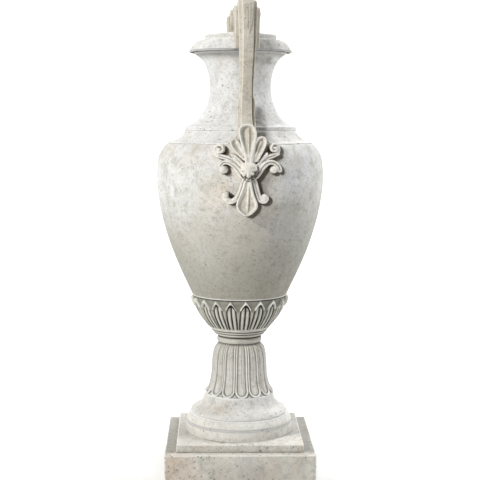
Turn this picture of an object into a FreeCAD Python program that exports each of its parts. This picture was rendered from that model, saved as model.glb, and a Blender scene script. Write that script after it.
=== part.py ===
import FreeCAD, Part
import math
import os
import Sketcher
from FreeCAD import Placement, Rotation, Vector

# Two-handled garden amphora in cast stone, standing on a stepped square plinth.
# Millimetres, +Z up, origin at the centre of the plinth's underside, front towards -Y.
# The urn is a stack of separate castings threaded on one steel tie rod, with sleeves and
# dowels across the joints. The handles, their scroll brackets and the palmettes at
# their feet are castings of their own, pinned to the stack.

os.makedirs("parts", exist_ok=True)
doc = FreeCAD.newDocument("amphora")

# ---------------------------------------------------------------- driving dimensions
SIZES = [
    # heights above the ground, one per casting joint
    ("z_plinth", 60.0, "top of the plinth block"),
    ("z_step", 75.2, "top of the step slab"),
    ("z_disc_band", 96.6, "top of the foot disc's upright band"),
    ("z_disc", 115.5, "top of the foot disc"),
    ("z_bell_bend", 124.5, "where the bell turns from convex to concave"),
    ("z_bell_neck", 154.0, "where the bell becomes upright"),
    ("z_bell", 156.0, "top of the bell, foot of the leaf stem"),
    ("z_stem_tip", 161.0, "upper edge of the flared leaf tips"),
    ("z_stem_waist", 176.0, "end of the flare of the tips"),
    ("z_stem_mid", 214.0, "middle of the stem"),
    ("z_stem_shoulder", 248.0, "start of the stem's rounded shoulder"),
    ("z_stem", 262.0, "top of the leaf stem"),
    ("z_torus", 278.0, "top of the bead ring"),
    ("z_fillet_low", 286.0, "groove between the two thin rings"),
    ("z_knop", 294.0, "top of the double ring"),
    ("z_cup_lip", 354.0, "widest level of the leaf cup"),
    ("z_cup", 364.8, "rim of the leaf cup"),
    ("z_seat", 318.0, "floor of the cup, underside of the body"),
    ("z_flank", 470.0, "end of the body's straight flank"),
    ("z_belly", 604.0, "widest level of the body"),
    ("z_high_belly", 650.0, "start of the body's shoulder curve"),
    ("z_body", 676.0, "top of the body"),
    ("z_ring_edge", 679.1, "arris of the shoulder ring"),
    ("z_ring", 702.0, "top of the shoulder ring"),
    ("z_neck_band", 710.5, "top of the band at the neck's foot"),
    ("z_neck_low", 730.0, "break of the neck's lower curve"),
    ("z_neck_waist", 790.0, "narrowest level of the neck"),
    ("z_neck_high", 833.0, "break of the neck's upper curve"),
    ("z_neck", 859.8, "top of the neck, underside of the collar"),
    ("z_collar_edge", 862.3, "top of the collar's lower arris"),
    ("z_collar", 885.0, "top of the collar"),
    ("z_mouth", 895.0, "top of the mouth ring"),
    ("z_floor_inside", 346.0, "floor inside the body"),
    # half sides and radii
    ("half_plinth", 150.0, "half side of the plinth block"),
    ("half_step", 127.9, "half side of the step slab"),
    ("edge_break", 1.6, "worn arris of the square slabs"),
    ("rad_disc", 111.0, "foot disc"),
    ("rad_disc_top", 102.0, "foot disc, top"),
    ("bend_disc", 24.0, "rounding of the disc"),
    ("rad_bell", 101.4, "foot of the bell"),
    ("rad_bell_bend", 96.5, "bell at the bend"),
    ("rad_bell_neck", 72.6, "top of the bell"),
    ("bend_bell_low", 10.0, "convex part of the bell"),
    ("bend_bell_high", 30.2, "concave part of the bell"),
    ("rad_stem_tip", 74.0, "leaf tips"),
    ("rad_stem_waist", 62.0, "above the leaf tips"),
    ("rad_stem_mid", 56.8, "middle of the stem"),
    ("rad_stem_shoulder", 52.2, "under the stem's shoulder"),
    ("rad_stem_top", 42.0, "top of the stem"),
    ("bend_stem_flare", 22.0, "flare of the tips"),
    ("bend_stem_long", 190.0, "long hollow of the stem"),
    ("bend_stem_belly", 170.0, "upper swell of the stem"),
    ("bend_stem_shoulder", 13.0, "shoulder of the stem"),
    ("rad_torus_low", 40.5, "underside of the bead ring"),
    ("rad_torus_top", 44.0, "top of the bead ring"),
    ("bend_torus", 9.4, "section of the bead ring"),
    ("rad_fillet_low", 53.0, "lower thin ring"),
    ("rad_fillet_gap", 51.0, "groove between the thin rings"),
    ("rad_fillet_high", 61.0, "upper thin ring"),
    ("rad_cup_foot", 61.8, "foot of the cup"),
    ("rad_cup_lip", 102.4, "leaf lips"),
    ("rad_cup", 98.8, "rim of the cup"),
    ("bend_cup", 162.0, "swell of the cup"),
    ("rad_seat", 58.0, "flat seat of the body in the cup"),
    ("rad_body_low", 98.4, "body at the cup's rim"),
    ("rad_flank", 143.3, "body at the end of its flank"),
    ("rad_belly", 171.0, "body, widest"),
    ("rad_high_belly", 166.0, "body under the shoulder"),
    ("rad_body_top", 149.6, "body at its upper joint"),
    ("bend_flank", 1400.0, "flank curve"),
    ("bend_belly", 338.0, "belly curve below the widest level"),
    ("bend_belly_high", 214.0, "belly curve above the widest level"),
    ("bend_shoulder", 48.0, "shoulder curve"),
    ("wall_body", 24.0, "wall of the body, measured level"),
    ("rad_floor", 58.0, "flat floor inside the body"),
    ("rad_ring_edge", 148.1, "arris of the shoulder ring"),
    ("rad_ring_top", 115.1, "top of the shoulder ring"),
    ("bend_ring", 42.0, "hollow of the shoulder ring"),
    ("bore_ring_top", 88.0, "opening at the top of the shoulder ring"),
    ("rad_neck_low", 82.4, "neck at its lower break"),
    ("rad_neck_waist", 62.8, "neck, narrowest"),
    ("rad_neck_high", 71.5, "neck at its upper break"),
    ("rad_neck_top", 94.0, "neck under the collar"),
    ("z_neck_lip", 857.0, "end of the neck's upper curve"),
    ("bend_neck_foot", 48.7, "neck curve at its foot"),
    ("bend_neck_low", 101.6, "neck curve below the waist"),
    ("bend_neck_high", 110.6, "neck curve above the waist"),
    ("bend_neck_flare", 47.5, "neck curve under the collar"),
    ("bore_neck_foot", 60.0, "neck bore at its lower break"),
    ("bore_neck", 44.0, "neck bore"),
    ("rad_collar", 105.4, "collar, lower arris"),
    ("rad_collar_top", 84.0, "collar, top"),
    ("bend_collar", 24.0, "quarter round of the collar"),
    ("bore_mouth", 48.0, "bore of the mouth through ring and collar"),
    ("rad_mouth", 73.0, "mouth ring"),
    # handles, measured in the upright plane through the axis
    ("turn_urn", 4.0, "turn of the handles about the axis, against the plinth"),
    ("z_scroll", 929.0, "centre of the rolled-over top"),
    ("out_scroll", 100.0, "distance of that centre from the axis"),
    ("roll_drum", 13.0, "scroll drum radius"),
    ("roll_flange", 27.0, "flange radius round the drum"),
    ("roll_rib", 36.0, "rib radius round the drum"),
    ("z_strap_bow", 840.0, "where the strap's curve turns"),
    ("z_strap_waist", 775.0, "strap nearest to the neck"),
    ("z_strap_root", 712.0, "foot of the strap"),
    ("z_strap_end", 674.0, "lower end of the strap, under the palmette"),
    ("flange_bow", 115.5, "flange face at the turn"),
    ("flange_waist", 107.5, "flange face at the waist"),
    ("flange_root", 133.0, "flange face at the foot"),
    ("flange_end", 150.0, "flange face at its end"),
    ("inner_bow", 101.5, "strap back at the turn"),
    ("inner_waist", 93.5, "strap back at the waist"),
    ("inner_root", 118.0, "strap back at the foot"),
    ("rib_bow", 123.8, "rib face at the turn"),
    ("rib_waist", 115.0, "rib face at the waist"),
    ("rib_root", 141.0, "rib face at the foot"),
    ("rib_end", 158.0, "rib face at its end"),
    ("bend_flange_high", 350.0, "flange curve, upper"),
    ("bend_flange_mid", 268.0, "flange curve, middle"),
    ("bend_flange_foot", 90.6, "flange curve, foot"),
    ("bend_inner_foot", 93.2, "back curve, foot"),
    ("bend_rib_high", 330.7, "rib curve, upper"),
    ("bend_rib_mid", 244.5, "rib curve, middle"),
    ("bend_rib_foot", 89.3, "rib curve, foot"),
    ("wide_flange", 37.6, "flange width at the top"),
    ("wide_strap", 27.6, "flange width along the neck"),
    ("wide_root", 36.0, "flange width at the foot"),
    ("wide_rib", 22.0, "rib width"),
    ("z_taper", 800.0, "end of the flange's taper"),
    ("z_root_block", 764.0, "top of the wide foot"),
    ("wide_bracket", 48.6, "scroll bracket width"),
    ("z_bracket_low", 863.0, "underside of the bracket"),
    ("z_bracket_step", 886.0, "where the bracket meets the strap"),
    ("z_bracket_top", 902.0, "bracket under the rolled end"),
    ("bracket_face", 104.0, "front face of the bracket's foot"),
    ("bracket_back", 78.0, "inner face of the bracket"),
    # hardware
    ("rad_rod", 8.0, "tie rod, M16"),
    ("bore_rod", 9.0, "clearance bore round the rod"),
    ("recess_wide", 34.0, "recess under the plinth"),
    ("recess_deep", 34.0, "recess depth"),
    ("rad_nut", 13.86, "nut, half width across corners"),
    ("high_nut", 13.0, "nut height"),
    ("rad_washer", 24.0, "plate washer"),
    ("high_washer", 4.0, "plate washer thickness"),
    ("rad_sleeve", 14.0, "centring sleeve"),
    ("half_sleeve", 9.0, "half length of a sleeve"),
    ("rad_dowel", 3.0, "dowels"),
    ("half_dowel", 9.0, "half length of a dowel"),
    ("pitch_plinth_dowel", 100.0, "plinth dowels, distance from the axis"),
    ("pitch_flank_dowel", 131.3, "dowels between bowl and drum, distance from the axis"),
    ("pitch_belly_dowel", 159.0, "dowels at the widest level, distance from the axis"),
    ("pitch_shoulder_dowel", 136.5, "shoulder dowels, distance from the axis"),
    ("pitch_neck_dowel", 101.0, "neck dowels, distance from the axis"),
    ("pitch_collar_dowel", 66.0, "collar dowels, distance from the axis"),
    ("out_handle_pin", 127.0, "handle pin, distance from the axis"),
    ("pin_apart", 15.0, "bracket pins, half distance"),
    ("z_bracket_pin", 873.0, "bracket pins, height"),
    ("z_boss", 627.0, "palmette boss, height"),
]
sheet = doc.addObject("Spreadsheet::Sheet", "Dims")
value = {}
for row, (alias, number, note) in enumerate(SIZES, start=1):
    sheet.set("A%d" % row, alias)
    sheet.set("B%d" % row, repr(number))
    sheet.setAlias("B%d" % row, alias)
    sheet.set("C%d" % row, note)
    value[alias] = number
doc.recompute()


class Q(object):
    """A number together with the sheet expression that gives it."""

    def __init__(self, number, text):
        self.number, self.text = number, text

    def __add__(self, other):
        other = q(other)
        return Q(self.number + other.number, "(%s + %s)" % (self.text, other.text))

    def __sub__(self, other):
        other = q(other)
        return Q(self.number - other.number, "(%s - %s)" % (self.text, other.text))

    def __mul__(self, other):
        other = q(other)
        return Q(self.number * other.number, "(%s * %s)" % (self.text, other.text))


def q(a):
    return a if isinstance(a, Q) else Q(float(a), repr(float(a)))


def S(alias):
    return Q(value[alias], "Dims." + alias)


def plane(body, role):
    for feature in body.Origin.OriginFeatures:
        if feature.Role == role:
            return feature
    raise RuntimeError(role)


def new_body(label):
    body = doc.addObject("PartDesign::Body", label)
    body.Label = label
    return body


def sketch_on(body, name, role):
    sketch = body.newObject("Sketcher::SketchObject", name)
    sketch.AttachmentSupport = [(plane(body, role), "")]
    sketch.MapMode = "FlatFace"
    return sketch


def bind(sketch, kind, geo, pos, quantity):
    """Distance of a point from the sketch origin along one axis, tied to the sheet."""
    if abs(quantity.number) < 1e-9:
        sketch.addConstraint(Sketcher.Constraint("PointOnObject", geo, pos, -2 if kind == "DistanceX" else -1))
        return
    index = sketch.addConstraint(Sketcher.Constraint(kind, -1, 1, geo, pos, quantity.number))
    sketch.setExpression("Constraints[%d]" % index, quantity.text)


def outline(sketch, corners, bends=None):
    """Closed outline of lines and arcs. bends[i] = (radius, side) bows the run from
    corner i to the next one: side +1 to the left of the run, -1 to the right."""
    bends = bends or {}
    count = len(corners)
    runs = []
    for i in range(count):
        a = Vector(corners[i][0].number, corners[i][1].number, 0)
        b = Vector(corners[(i + 1) % count][0].number, corners[(i + 1) % count][1].number, 0)
        if i in bends:
            radius, side = bends[i]
            chord = b - a
            normal = Vector(-chord.y, chord.x, 0)
            normal.normalize()
            depth = math.sqrt(radius.number ** 2 - (chord.Length / 2.0) ** 2)
            centre = (a + b) * 0.5 - normal * (side * depth)
            first, last = (b, a) if side > 0 else (a, b)
            begin = math.atan2(first.y - centre.y, first.x - centre.x)
            end = math.atan2(last.y - centre.y, last.x - centre.x)
            if end <= begin:
                end += 2 * math.pi
            geo = sketch.addGeometry(Part.ArcOfCircle(Part.Circle(centre, Vector(0, 0, 1), radius.number), begin, end), False)
            runs.append((geo, 2, 1) if side > 0 else (geo, 1, 2))
        else:
            geo = sketch.addGeometry(Part.LineSegment(a, b), False)
            runs.append((geo, 1, 2))
    for i in range(count):
        before, here = runs[i - 1], runs[i]
        sketch.addConstraint(Sketcher.Constraint("Coincident", before[0], before[2], here[0], here[1]))
        bind(sketch, "DistanceX", here[0], here[1], corners[i][0])
        bind(sketch, "DistanceY", here[0], here[1], corners[i][1])
    for i, (radius, side) in bends.items():
        index = sketch.addConstraint(Sketcher.Constraint("Radius", runs[i][0], radius.number))
        sketch.setExpression("Constraints[%d]" % index, radius.text)


def lift(obj, level):
    obj.setExpression(".Placement.Base.z", level.text)


def turned(label, corners, bends=None, level=None):
    """Ring-shaped casting turned about the axis. Corners are (radius, height)."""
    base = level or q(0)
    body = new_body(label)
    sketch = sketch_on(body, label + "_profile", "XZ_Plane")
    outline(sketch, [(r, (z - base) if level else z) for r, z in corners], bends)
    spin = body.newObject("PartDesign::Revolution", label + "_turned")
    spin.Profile = sketch
    spin.ReferenceAxis = (sketch, ["V_Axis"])
    spin.Angle = 360.0
    body.Tip = spin
    if level:
        lift(body, level)
    return body


def drilled(body, name, radius, places, bottom, depth):
    """Round holes along +Z from the local height bottom, depth deep."""
    doc.recompute()
    before = body.Shape.Volume
    sketch = sketch_on(body, name + "_layout", "XY_Plane")
    sketch.AttachmentOffset = Placement(Vector(0, 0, bottom.number), Rotation())
    sketch.setExpression(".AttachmentOffset.Base.z", bottom.text)
    for x, y in places:
        geo = sketch.addGeometry(Part.Circle(Vector(x.number, y.number, 0), Vector(0, 0, 1), radius.number), False)
        index = sketch.addConstraint(Sketcher.Constraint("Radius", geo, radius.number))
        sketch.setExpression("Constraints[%d]" % index, radius.text)
        bind(sketch, "DistanceX", geo, 3, x)
        bind(sketch, "DistanceY", geo, 3, y)
    pocket = body.newObject("PartDesign::Pocket", name)
    pocket.Profile = sketch
    pocket.Length = depth.number
    pocket.setExpression("Length", depth.text)
    pocket.Reversed = True
    body.Tip = pocket
    doc.recompute()
    if not body.Shape.Volume < before - 1.0:
        raise RuntimeError(name + " cut nothing")


def ring_places(count, pitch, start):
    places = []
    for i in range(count):
        angle = start + 360.0 * i / count
        c, s = math.cos(math.radians(angle)), math.sin(math.radians(angle))
        places.append((Q(pitch.number * c, "%s * cos(%r deg)" % (pitch.text, angle)),
                       Q(pitch.number * s, "%s * sin(%r deg)" % (pitch.text, angle))))
    return places


AXIS = [(q(0), q(0))]
nodes = []


def keep(obj):
    nodes.append(obj)
    return obj


def counterbore_top(body, low, high):
    drilled(body, body.Label + "_sleeve_top", S("rad_sleeve"), AXIS, high - low - S("half_sleeve"), S("half_sleeve"))


def counterbore_foot(body):
    drilled(body, body.Label + "_sleeve_foot", S("rad_sleeve"), AXIS, q(0), S("half_sleeve"))


# ---------------------------------------------------------------- plinth
def slab(label, half, low, high):
    """Square slab centred on the axis with softened arrises and the rod's bore."""
    body = new_body(label)
    sketch = sketch_on(body, label + "_square", "XY_Plane")
    minus = q(0) - half
    outline(sketch, [(minus, minus), (half, minus), (half, half), (minus, half)])
    pad = body.newObject("PartDesign::Pad", label + "_pad")
    pad.Profile = sketch
    pad.setExpression("Length", (high - low).text)
    body.Tip = pad
    doc.recompute()
    edges = []
    height = high.number - low.number
    for i, edge in enumerate(pad.Shape.Edges, start=1):
        if min(v.Z for v in edge.Vertexes) > 0.5 * height or abs(edge.Vertexes[0].Z - edge.Vertexes[-1].Z) > 0.5 * height:
            edges.append("Edge%d" % i)
    soft = body.newObject("PartDesign::Fillet", label + "_arris")
    soft.Base = (pad, edges)
    soft.setExpression("Radius", "Dims.edge_break")
    body.Tip = soft
    drilled(body, label + "_bore", S("bore_rod"), AXIS, q(0), high - low)
    if low.number > 0:
        lift(body, low)
    return body


plinth_block = keep(slab("plinth_block", S("half_plinth"), q(0), S("z_plinth")))
drilled(plinth_block, "nut_recess", S("recess_wide"), AXIS, q(0), S("recess_deep"))
drilled(plinth_block, "plinth_dowel_holes", S("rad_dowel"), ring_places(4, S("pitch_plinth_dowel"), 45.0),
        S("z_plinth") - S("half_dowel"), S("half_dowel"))

plinth_step = keep(slab("plinth_step", S("half_step"), S("z_plinth"), S("z_step")))
drilled(plinth_step, "step_dowel_holes", S("rad_dowel"), ring_places(4, S("pitch_plinth_dowel"), 45.0), q(0), S("half_dowel"))
counterbore_top(plinth_step, S("z_plinth"), S("z_step"))

# ---------------------------------------------------------------- foot and stem
foot_disc = keep(turned("foot_disc", [
    (S("bore_rod"), S("z_step")), (S("rad_disc"), S("z_step")), (S("rad_disc"), S("z_disc_band")),
    (S("rad_disc_top"), S("z_disc")), (S("bore_rod"), S("z_disc"))],
    {2: (S("bend_disc"), -1)}, S("z_step")))
counterbore_foot(foot_disc)
counterbore_top(foot_disc, S("z_step"), S("z_disc"))

foot_bell = keep(turned("foot_bell", [
    (S("bore_rod"), S("z_disc")), (S("rad_bell"), S("z_disc")), (S("rad_bell_bend"), S("z_bell_bend")),
    (S("rad_bell_neck"), S("z_bell_neck")), (S("rad_bell_neck"), S("z_bell")), (S("bore_rod"), S("z_bell"))],
    {1: (S("bend_bell_low"), -1), 2: (S("bend_bell_high"), 1)}, S("z_disc")))
counterbore_foot(foot_bell)
counterbore_top(foot_bell, S("z_disc"), S("z_bell"))

leaf_stem = keep(turned("leaf_stem", [
    (S("bore_rod"), S("z_bell")), (S("rad_stem_tip"), S("z_bell")), (S("rad_stem_tip"), S("z_stem_tip")),
    (S("rad_stem_waist"), S("z_stem_waist")), (S("rad_stem_mid"), S("z_stem_mid")),
    (S("rad_stem_shoulder"), S("z_stem_shoulder")), (S("rad_stem_top"), S("z_stem")), (S("bore_rod"), S("z_stem"))],
    {2: (S("bend_stem_flare"), 1), 3: (S("bend_stem_long"), 1), 4: (S("bend_stem_belly"), -1),
     5: (S("bend_stem_shoulder"), -1)}, S("z_bell")))
counterbore_foot(leaf_stem)

knop_torus = keep(turned("knop_torus", [
    (S("bore_rod"), S("z_stem")), (S("rad_torus_low"), S("z_stem")), (S("rad_torus_top"), S("z_torus")),
    (S("bore_rod"), S("z_torus"))], {1: (S("bend_torus"), -1)}, S("z_stem")))

knop_fillet = keep(turned("knop_fillet", [
    (S("bore_rod"), S("z_torus")), (S("rad_torus_top"), S("z_torus")), (S("rad_fillet_low"), S("z_torus") + q(2)),
    (S("rad_fillet_low"), S("z_fillet_low") - q(1)), (S("rad_fillet_gap"), S("z_fillet_low")),
    (S("rad_fillet_high"), S("z_fillet_low") + q(3)), (S("rad_fillet_high"), S("z_knop")), (S("bore_rod"), S("z_knop"))],
    {}, S("z_torus")))
counterbore_top(knop_fillet, S("z_torus"), S("z_knop"))

# ---------------------------------------------------------------- cup and vessel
leaf_cup = keep(turned("leaf_cup", [
    (S("bore_rod"), S("z_knop")), (S("rad_cup_foot"), S("z_knop")), (S("rad_cup_lip"), S("z_cup_lip")),
    (S("rad_cup"), S("z_cup")), (S("rad_body_low"), S("z_cup")), (S("rad_seat"), S("z_seat")), (S("bore_rod"), S("z_seat"))],
    {1: (S("bend_cup"), -1)}, S("z_knop")))
counterbore_foot(leaf_cup)

wall = S("wall_body")
body_bowl = keep(turned("body_bowl", [
    (S("bore_rod"), S("z_seat")), (S("rad_seat"), S("z_seat")), (S("rad_body_low"), S("z_cup")),
    (S("rad_flank"), S("z_flank")), (S("rad_flank") - wall, S("z_flank")),
    (S("rad_body_low") - wall, S("z_cup")), (S("rad_floor"), S("z_floor_inside")), (S("bore_rod"), S("z_floor_inside"))],
    {2: (S("bend_flank"), -1), 4: (S("bend_flank"), 1)}, S("z_seat")))
drilled(body_bowl, "bowl_dowel_holes", S("rad_dowel"), ring_places(6, S("pitch_flank_dowel"), 0.0),
        S("z_flank") - S("z_seat") - S("half_dowel"), S("half_dowel"))

body_drum = keep(turned("body_drum", [
    (S("rad_flank"), S("z_flank")), (S("rad_belly"), S("z_belly")),
    (S("rad_belly") - wall, S("z_belly")), (S("rad_flank") - wall, S("z_flank"))],
    {0: (S("bend_belly"), -1), 2: (S("bend_belly"), 1)}, S("z_flank")))
drilled(body_drum, "drum_foot_dowel_holes", S("rad_dowel"), ring_places(6, S("pitch_flank_dowel"), 0.0), q(0), S("half_dowel"))
drilled(body_drum, "drum_top_dowel_holes", S("rad_dowel"), ring_places(6, S("pitch_belly_dowel"), 0.0),
        S("z_belly") - S("z_flank") - S("half_dowel"), S("half_dowel"))

body_top = keep(turned("body_top", [
    (S("rad_belly"), S("z_belly")), (S("rad_high_belly"), S("z_high_belly")), (S("rad_body_top"), S("z_body")),
    (S("rad_body_top") - wall, S("z_body")), (S("rad_high_belly") - wall, S("z_high_belly")),
    (S("rad_belly") - wall, S("z_belly"))],
    {0: (S("bend_belly_high"), -1), 1: (S("bend_shoulder"), -1), 3: (S("bend_shoulder"), 1), 4: (S("bend_belly_high"), 1)},
    S("z_belly")))
drilled(body_top, "top_foot_dowel_holes", S("rad_dowel"), ring_places(6, S("pitch_belly_dowel"), 0.0), q(0), S("half_dowel"))
drilled(body_top, "body_dowel_holes", S("rad_dowel"), ring_places(6, S("pitch_shoulder_dowel"), 30.0),
        S("z_body") - S("z_belly") - S("half_dowel"), S("half_dowel"))

shoulder_ring = keep(turned("shoulder_ring", [
    (S("rad_body_top") - wall, S("z_body")), (S("rad_body_top"), S("z_body")), (S("rad_ring_edge"), S("z_ring_edge")),
    (S("rad_ring_top"), S("z_ring")), (S("bore_ring_top"), S("z_ring"))],
    {2: (S("bend_ring"), 1)}, S("z_body")))
drilled(shoulder_ring, "ring_foot_dowel_holes", S("rad_dowel"), ring_places(6, S("pitch_shoulder_dowel"), 30.0),
        q(0), S("half_dowel") * q(0.5))
drilled(shoulder_ring, "ring_top_dowel_holes", S("rad_dowel"), ring_places(4, S("pitch_neck_dowel"), 45.0),
        S("z_ring") - S("z_body") - S("half_dowel"), S("half_dowel"))
drilled(shoulder_ring, "handle_pin_holes", S("rad_dowel"), ring_places(2, S("out_handle_pin"), 90.0 + value["turn_urn"]),
        q(3), S("half_dowel") * q(2))

neck = keep(turned("neck", [
    (S("bore_ring_top"), S("z_ring")), (S("rad_ring_top"), S("z_ring")), (S("rad_ring_top"), S("z_neck_band")),
    (S("rad_neck_low"), S("z_neck_low")), (S("rad_neck_waist"), S("z_neck_waist")), (S("rad_neck_high"), S("z_neck_high")),
    (S("rad_neck_top"), S("z_neck_lip")), (S("rad_neck_top"), S("z_neck")), (S("bore_mouth"), S("z_neck")),
    (S("bore_neck"), S("z_neck_high")), (S("bore_neck"), S("z_neck_waist")), (S("bore_neck_foot"), S("z_neck_low"))],
    {2: (S("bend_neck_foot"), 1), 3: (S("bend_neck_low"), 1), 4: (S("bend_neck_high"), 1), 5: (S("bend_neck_flare"), 1)},
    S("z_ring")))
drilled(neck, "neck_foot_dowel_holes", S("rad_dowel"), ring_places(4, S("pitch_neck_dowel"), 45.0), q(0), S("half_dowel") * q(0.5))
drilled(neck, "neck_top_dowel_holes", S("rad_dowel"), ring_places(4, S("pitch_collar_dowel"), 45.0),
        S("z_neck") - S("z_ring") - S("half_dowel"), S("half_dowel"))

rim_collar = keep(turned("rim_collar", [
    (S("bore_mouth"), S("z_neck")), (S("rad_collar"), S("z_neck")), (S("rad_collar"), S("z_collar_edge")),
    (S("rad_collar_top"), S("z_collar")), (S("bore_mouth"), S("z_collar"))],
    {2: (S("bend_collar"), -1)}, S("z_neck")))
drilled(rim_collar, "collar_dowel_holes", S("rad_dowel"), ring_places(4, S("pitch_collar_dowel"), 45.0), q(0), S("half_dowel"))

mouth_ring = keep(turned("mouth_ring", [
    (S("bore_mouth"), S("z_collar")), (S("rad_mouth"), S("z_collar")), (S("rad_mouth"), S("z_mouth") - q(2)),
    (S("rad_mouth") - q(2), S("z_mouth")), (S("bore_mouth"), S("z_mouth"))],
    {2: (q(2.2), -1)}, S("z_collar")))

# ---------------------------------------------------------------- handles
# The outer form of the vessel, used to fit the backs of everything that leans on it.
vessel_form = turned("vessel_form", [
    (q(0), S("z_cup")), (S("rad_body_low"), S("z_cup")),
    (S("rad_flank"), S("z_flank")), (S("rad_belly"), S("z_belly")), (S("rad_high_belly"), S("z_high_belly")),
    (S("rad_body_top"), S("z_body")), (S("rad_ring_edge"), S("z_ring_edge")), (S("rad_ring_top"), S("z_ring")),
    (S("rad_ring_top"), S("z_neck_band")), (S("rad_neck_low"), S("z_neck_low")), (S("rad_neck_waist"), S("z_neck_waist")),
    (S("rad_neck_high"), S("z_neck_high")), (S("rad_neck_top"), S("z_neck_lip")), (S("rad_neck_top"), S("z_neck")),
    (S("rad_collar"), S("z_neck")), (S("rad_collar"), S("z_collar_edge")), (S("rad_collar_top"), S("z_collar")),
    (S("rad_mouth"), S("z_collar")), (S("rad_mouth"), S("z_mouth") - q(2)), (S("rad_mouth") - q(2), S("z_mouth")),
    (q(0), S("z_mouth"))],
    {1: (S("bend_flank"), -1), 2: (S("bend_belly"), -1), 3: (S("bend_belly_high"), -1), 4: (S("bend_shoulder"), -1),
     6: (S("bend_ring"), 1), 8: (S("bend_neck_foot"), 1), 9: (S("bend_neck_low"), 1), 10: (S("bend_neck_high"), 1),
     11: (S("bend_neck_flare"), 1), 15: (S("bend_collar"), -1), 18: (q(2.2), -1)})

c_out, c_high = S("out_scroll"), S("z_scroll")


def side_pad(body, name, corners, bends, width):
    """Side outline in the upright plane (distance from axis, height), padded to both sides."""
    sketch = sketch_on(body, name + "_side", "YZ_Plane")
    outline(sketch, corners, bends)
    pad = body.newObject("PartDesign::Pad", name)
    pad.Profile = sketch
    pad.setExpression("Length", width.text)
    pad.SideType = "Symmetric"
    body.Tip = pad
    doc.recompute()


strap = new_body("strap_blank")
side_pad(strap, "flange", [
    (S("inner_root"), S("z_strap_end")), (S("flange_end"), S("z_strap_end")), (S("flange_root"), S("z_strap_root")),
    (S("flange_waist"), S("z_strap_waist")), (S("flange_bow"), S("z_strap_bow")), (c_out + S("roll_flange"), c_high),
    (c_out, c_high + S("roll_flange")), (c_out - S("roll_flange"), c_high), (c_out, c_high - S("roll_flange")),
    (c_out, c_high - S("roll_drum")), (c_out - S("roll_drum"), c_high), (c_out, c_high + S("roll_drum")),
    (c_out + S("roll_drum"), c_high), (S("inner_bow"), S("z_strap_bow")), (S("inner_waist"), S("z_strap_waist")),
    (S("inner_root"), S("z_strap_root"))],
    {2: (S("bend_flange_foot"), 1), 3: (S("bend_flange_mid"), 1), 4: (S("bend_flange_high"), -1),
     5: (S("roll_flange"), -1), 6: (S("roll_flange"), -1), 7: (S("roll_flange"), -1),
     9: (S("roll_drum"), 1), 10: (S("roll_drum"), 1), 11: (S("roll_drum"), 1),
     12: (S("bend_flange_high"), 1), 13: (S("bend_flange_mid"), -1), 14: (S("bend_inner_foot"), -1)},
    S("wide_flange"))

# The flange narrows from the top to the neck and widens again at its foot.
half_top, half_mid, half_root = S("wide_flange") * q(0.5), S("wide_strap") * q(0.5), S("wide_root") * q(0.5)
trim = sketch_on(strap, "taper_front", "XZ_Plane")
far = half_top + q(10)
for side in (1.0, -1.0):
    w = q(side)
    outline(trim, [
        (half_root * w, S("z_strap_end") - q(5)), (far * w, S("z_strap_end") - q(5)), (far * w, c_high),
        (half_top * w, c_high), (half_mid * w, S("z_taper")), (half_mid * w, S("z_root_block") + q(4)),
        (half_root * w, S("z_root_block"))])
taper = strap.newObject("PartDesign::Pocket", "taper")
taper.Profile = trim
taper.Length = 400.0
taper.SideType = "Symmetric"
before = strap.Shape.Volume
strap.Tip = taper
doc.recompute()
if not strap.Shape.Volume < before - 1000.0:
    raise RuntimeError("the taper cut nothing")

side_pad(strap, "rib", [
    (S("flange_end") - q(2), S("z_strap_end")), (S("rib_end"), S("z_strap_end")), (S("rib_root"), S("z_strap_root")),
    (S("rib_waist"), S("z_strap_waist")), (S("rib_bow"), S("z_strap_bow")), (c_out + S("roll_rib"), c_high),
    (c_out, c_high + S("roll_rib")), (c_out - S("roll_flange") + q(1), c_high),
    (c_out, c_high + S("roll_flange") - q(1)), (c_out + S("roll_flange") - q(1), c_high),
    (S("flange_bow") - q(1), S("z_strap_bow")), (S("flange_waist") - q(1), S("z_strap_waist")),
    (S("flange_root") - q(1), S("z_strap_root"))],
    {2: (S("bend_rib_foot"), 1), 3: (S("bend_rib_mid"), 1), 4: (S("bend_rib_high"), -1),
     5: (S("roll_rib"), -1), 6: (S("roll_rib") * q(0.95), -1),
     7: (S("roll_flange") - q(1), 1), 8: (S("roll_flange") - q(1), 1),
     9: (S("bend_flange_high"), 1), 10: (S("bend_flange_mid"), -1), 11: (S("bend_flange_foot"), -1)},
    S("wide_rib"))

scroll = new_body("bracket_blank")
side_pad(scroll, "scroll", [
    (S("bracket_back"), S("z_bracket_low")), (S("rad_collar") + q(0.6), S("z_bracket_low")),
    (S("rad_collar") + q(0.6), S("z_bracket_step")), (q(109.55), S("z_bracket_step")),
    (c_out + S("roll_drum"), c_high), (c_out, c_high + S("roll_drum")), (c_out - S("roll_drum"), c_high),
    (c_out, c_high - S("roll_drum")), (c_out, S("z_bracket_top")), (S("bracket_back"), S("z_bracket_top"))],
    {4: (S("roll_drum"), -1), 5: (S("roll_drum"), -1), 6: (S("roll_drum"), -1)},
    S("wide_bracket"))


def pin(name, radius, length, place, turn=None):
    cylinder = doc.addObject("Part::Cylinder", name)
    cylinder.setExpression("Radius", radius.text)
    cylinder.setExpression("Height", length.text)
    cylinder.Placement = Placement(Vector(place[0].number, place[1].number, place[2].number), turn or Rotation())
    for axis, quantity in zip("xyz", place):
        cylinder.setExpression(".Placement.Base.%s" % axis, quantity.text)
    return cylinder


OUTWARD = Rotation(Vector(1, 0, 0), -90)

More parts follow.
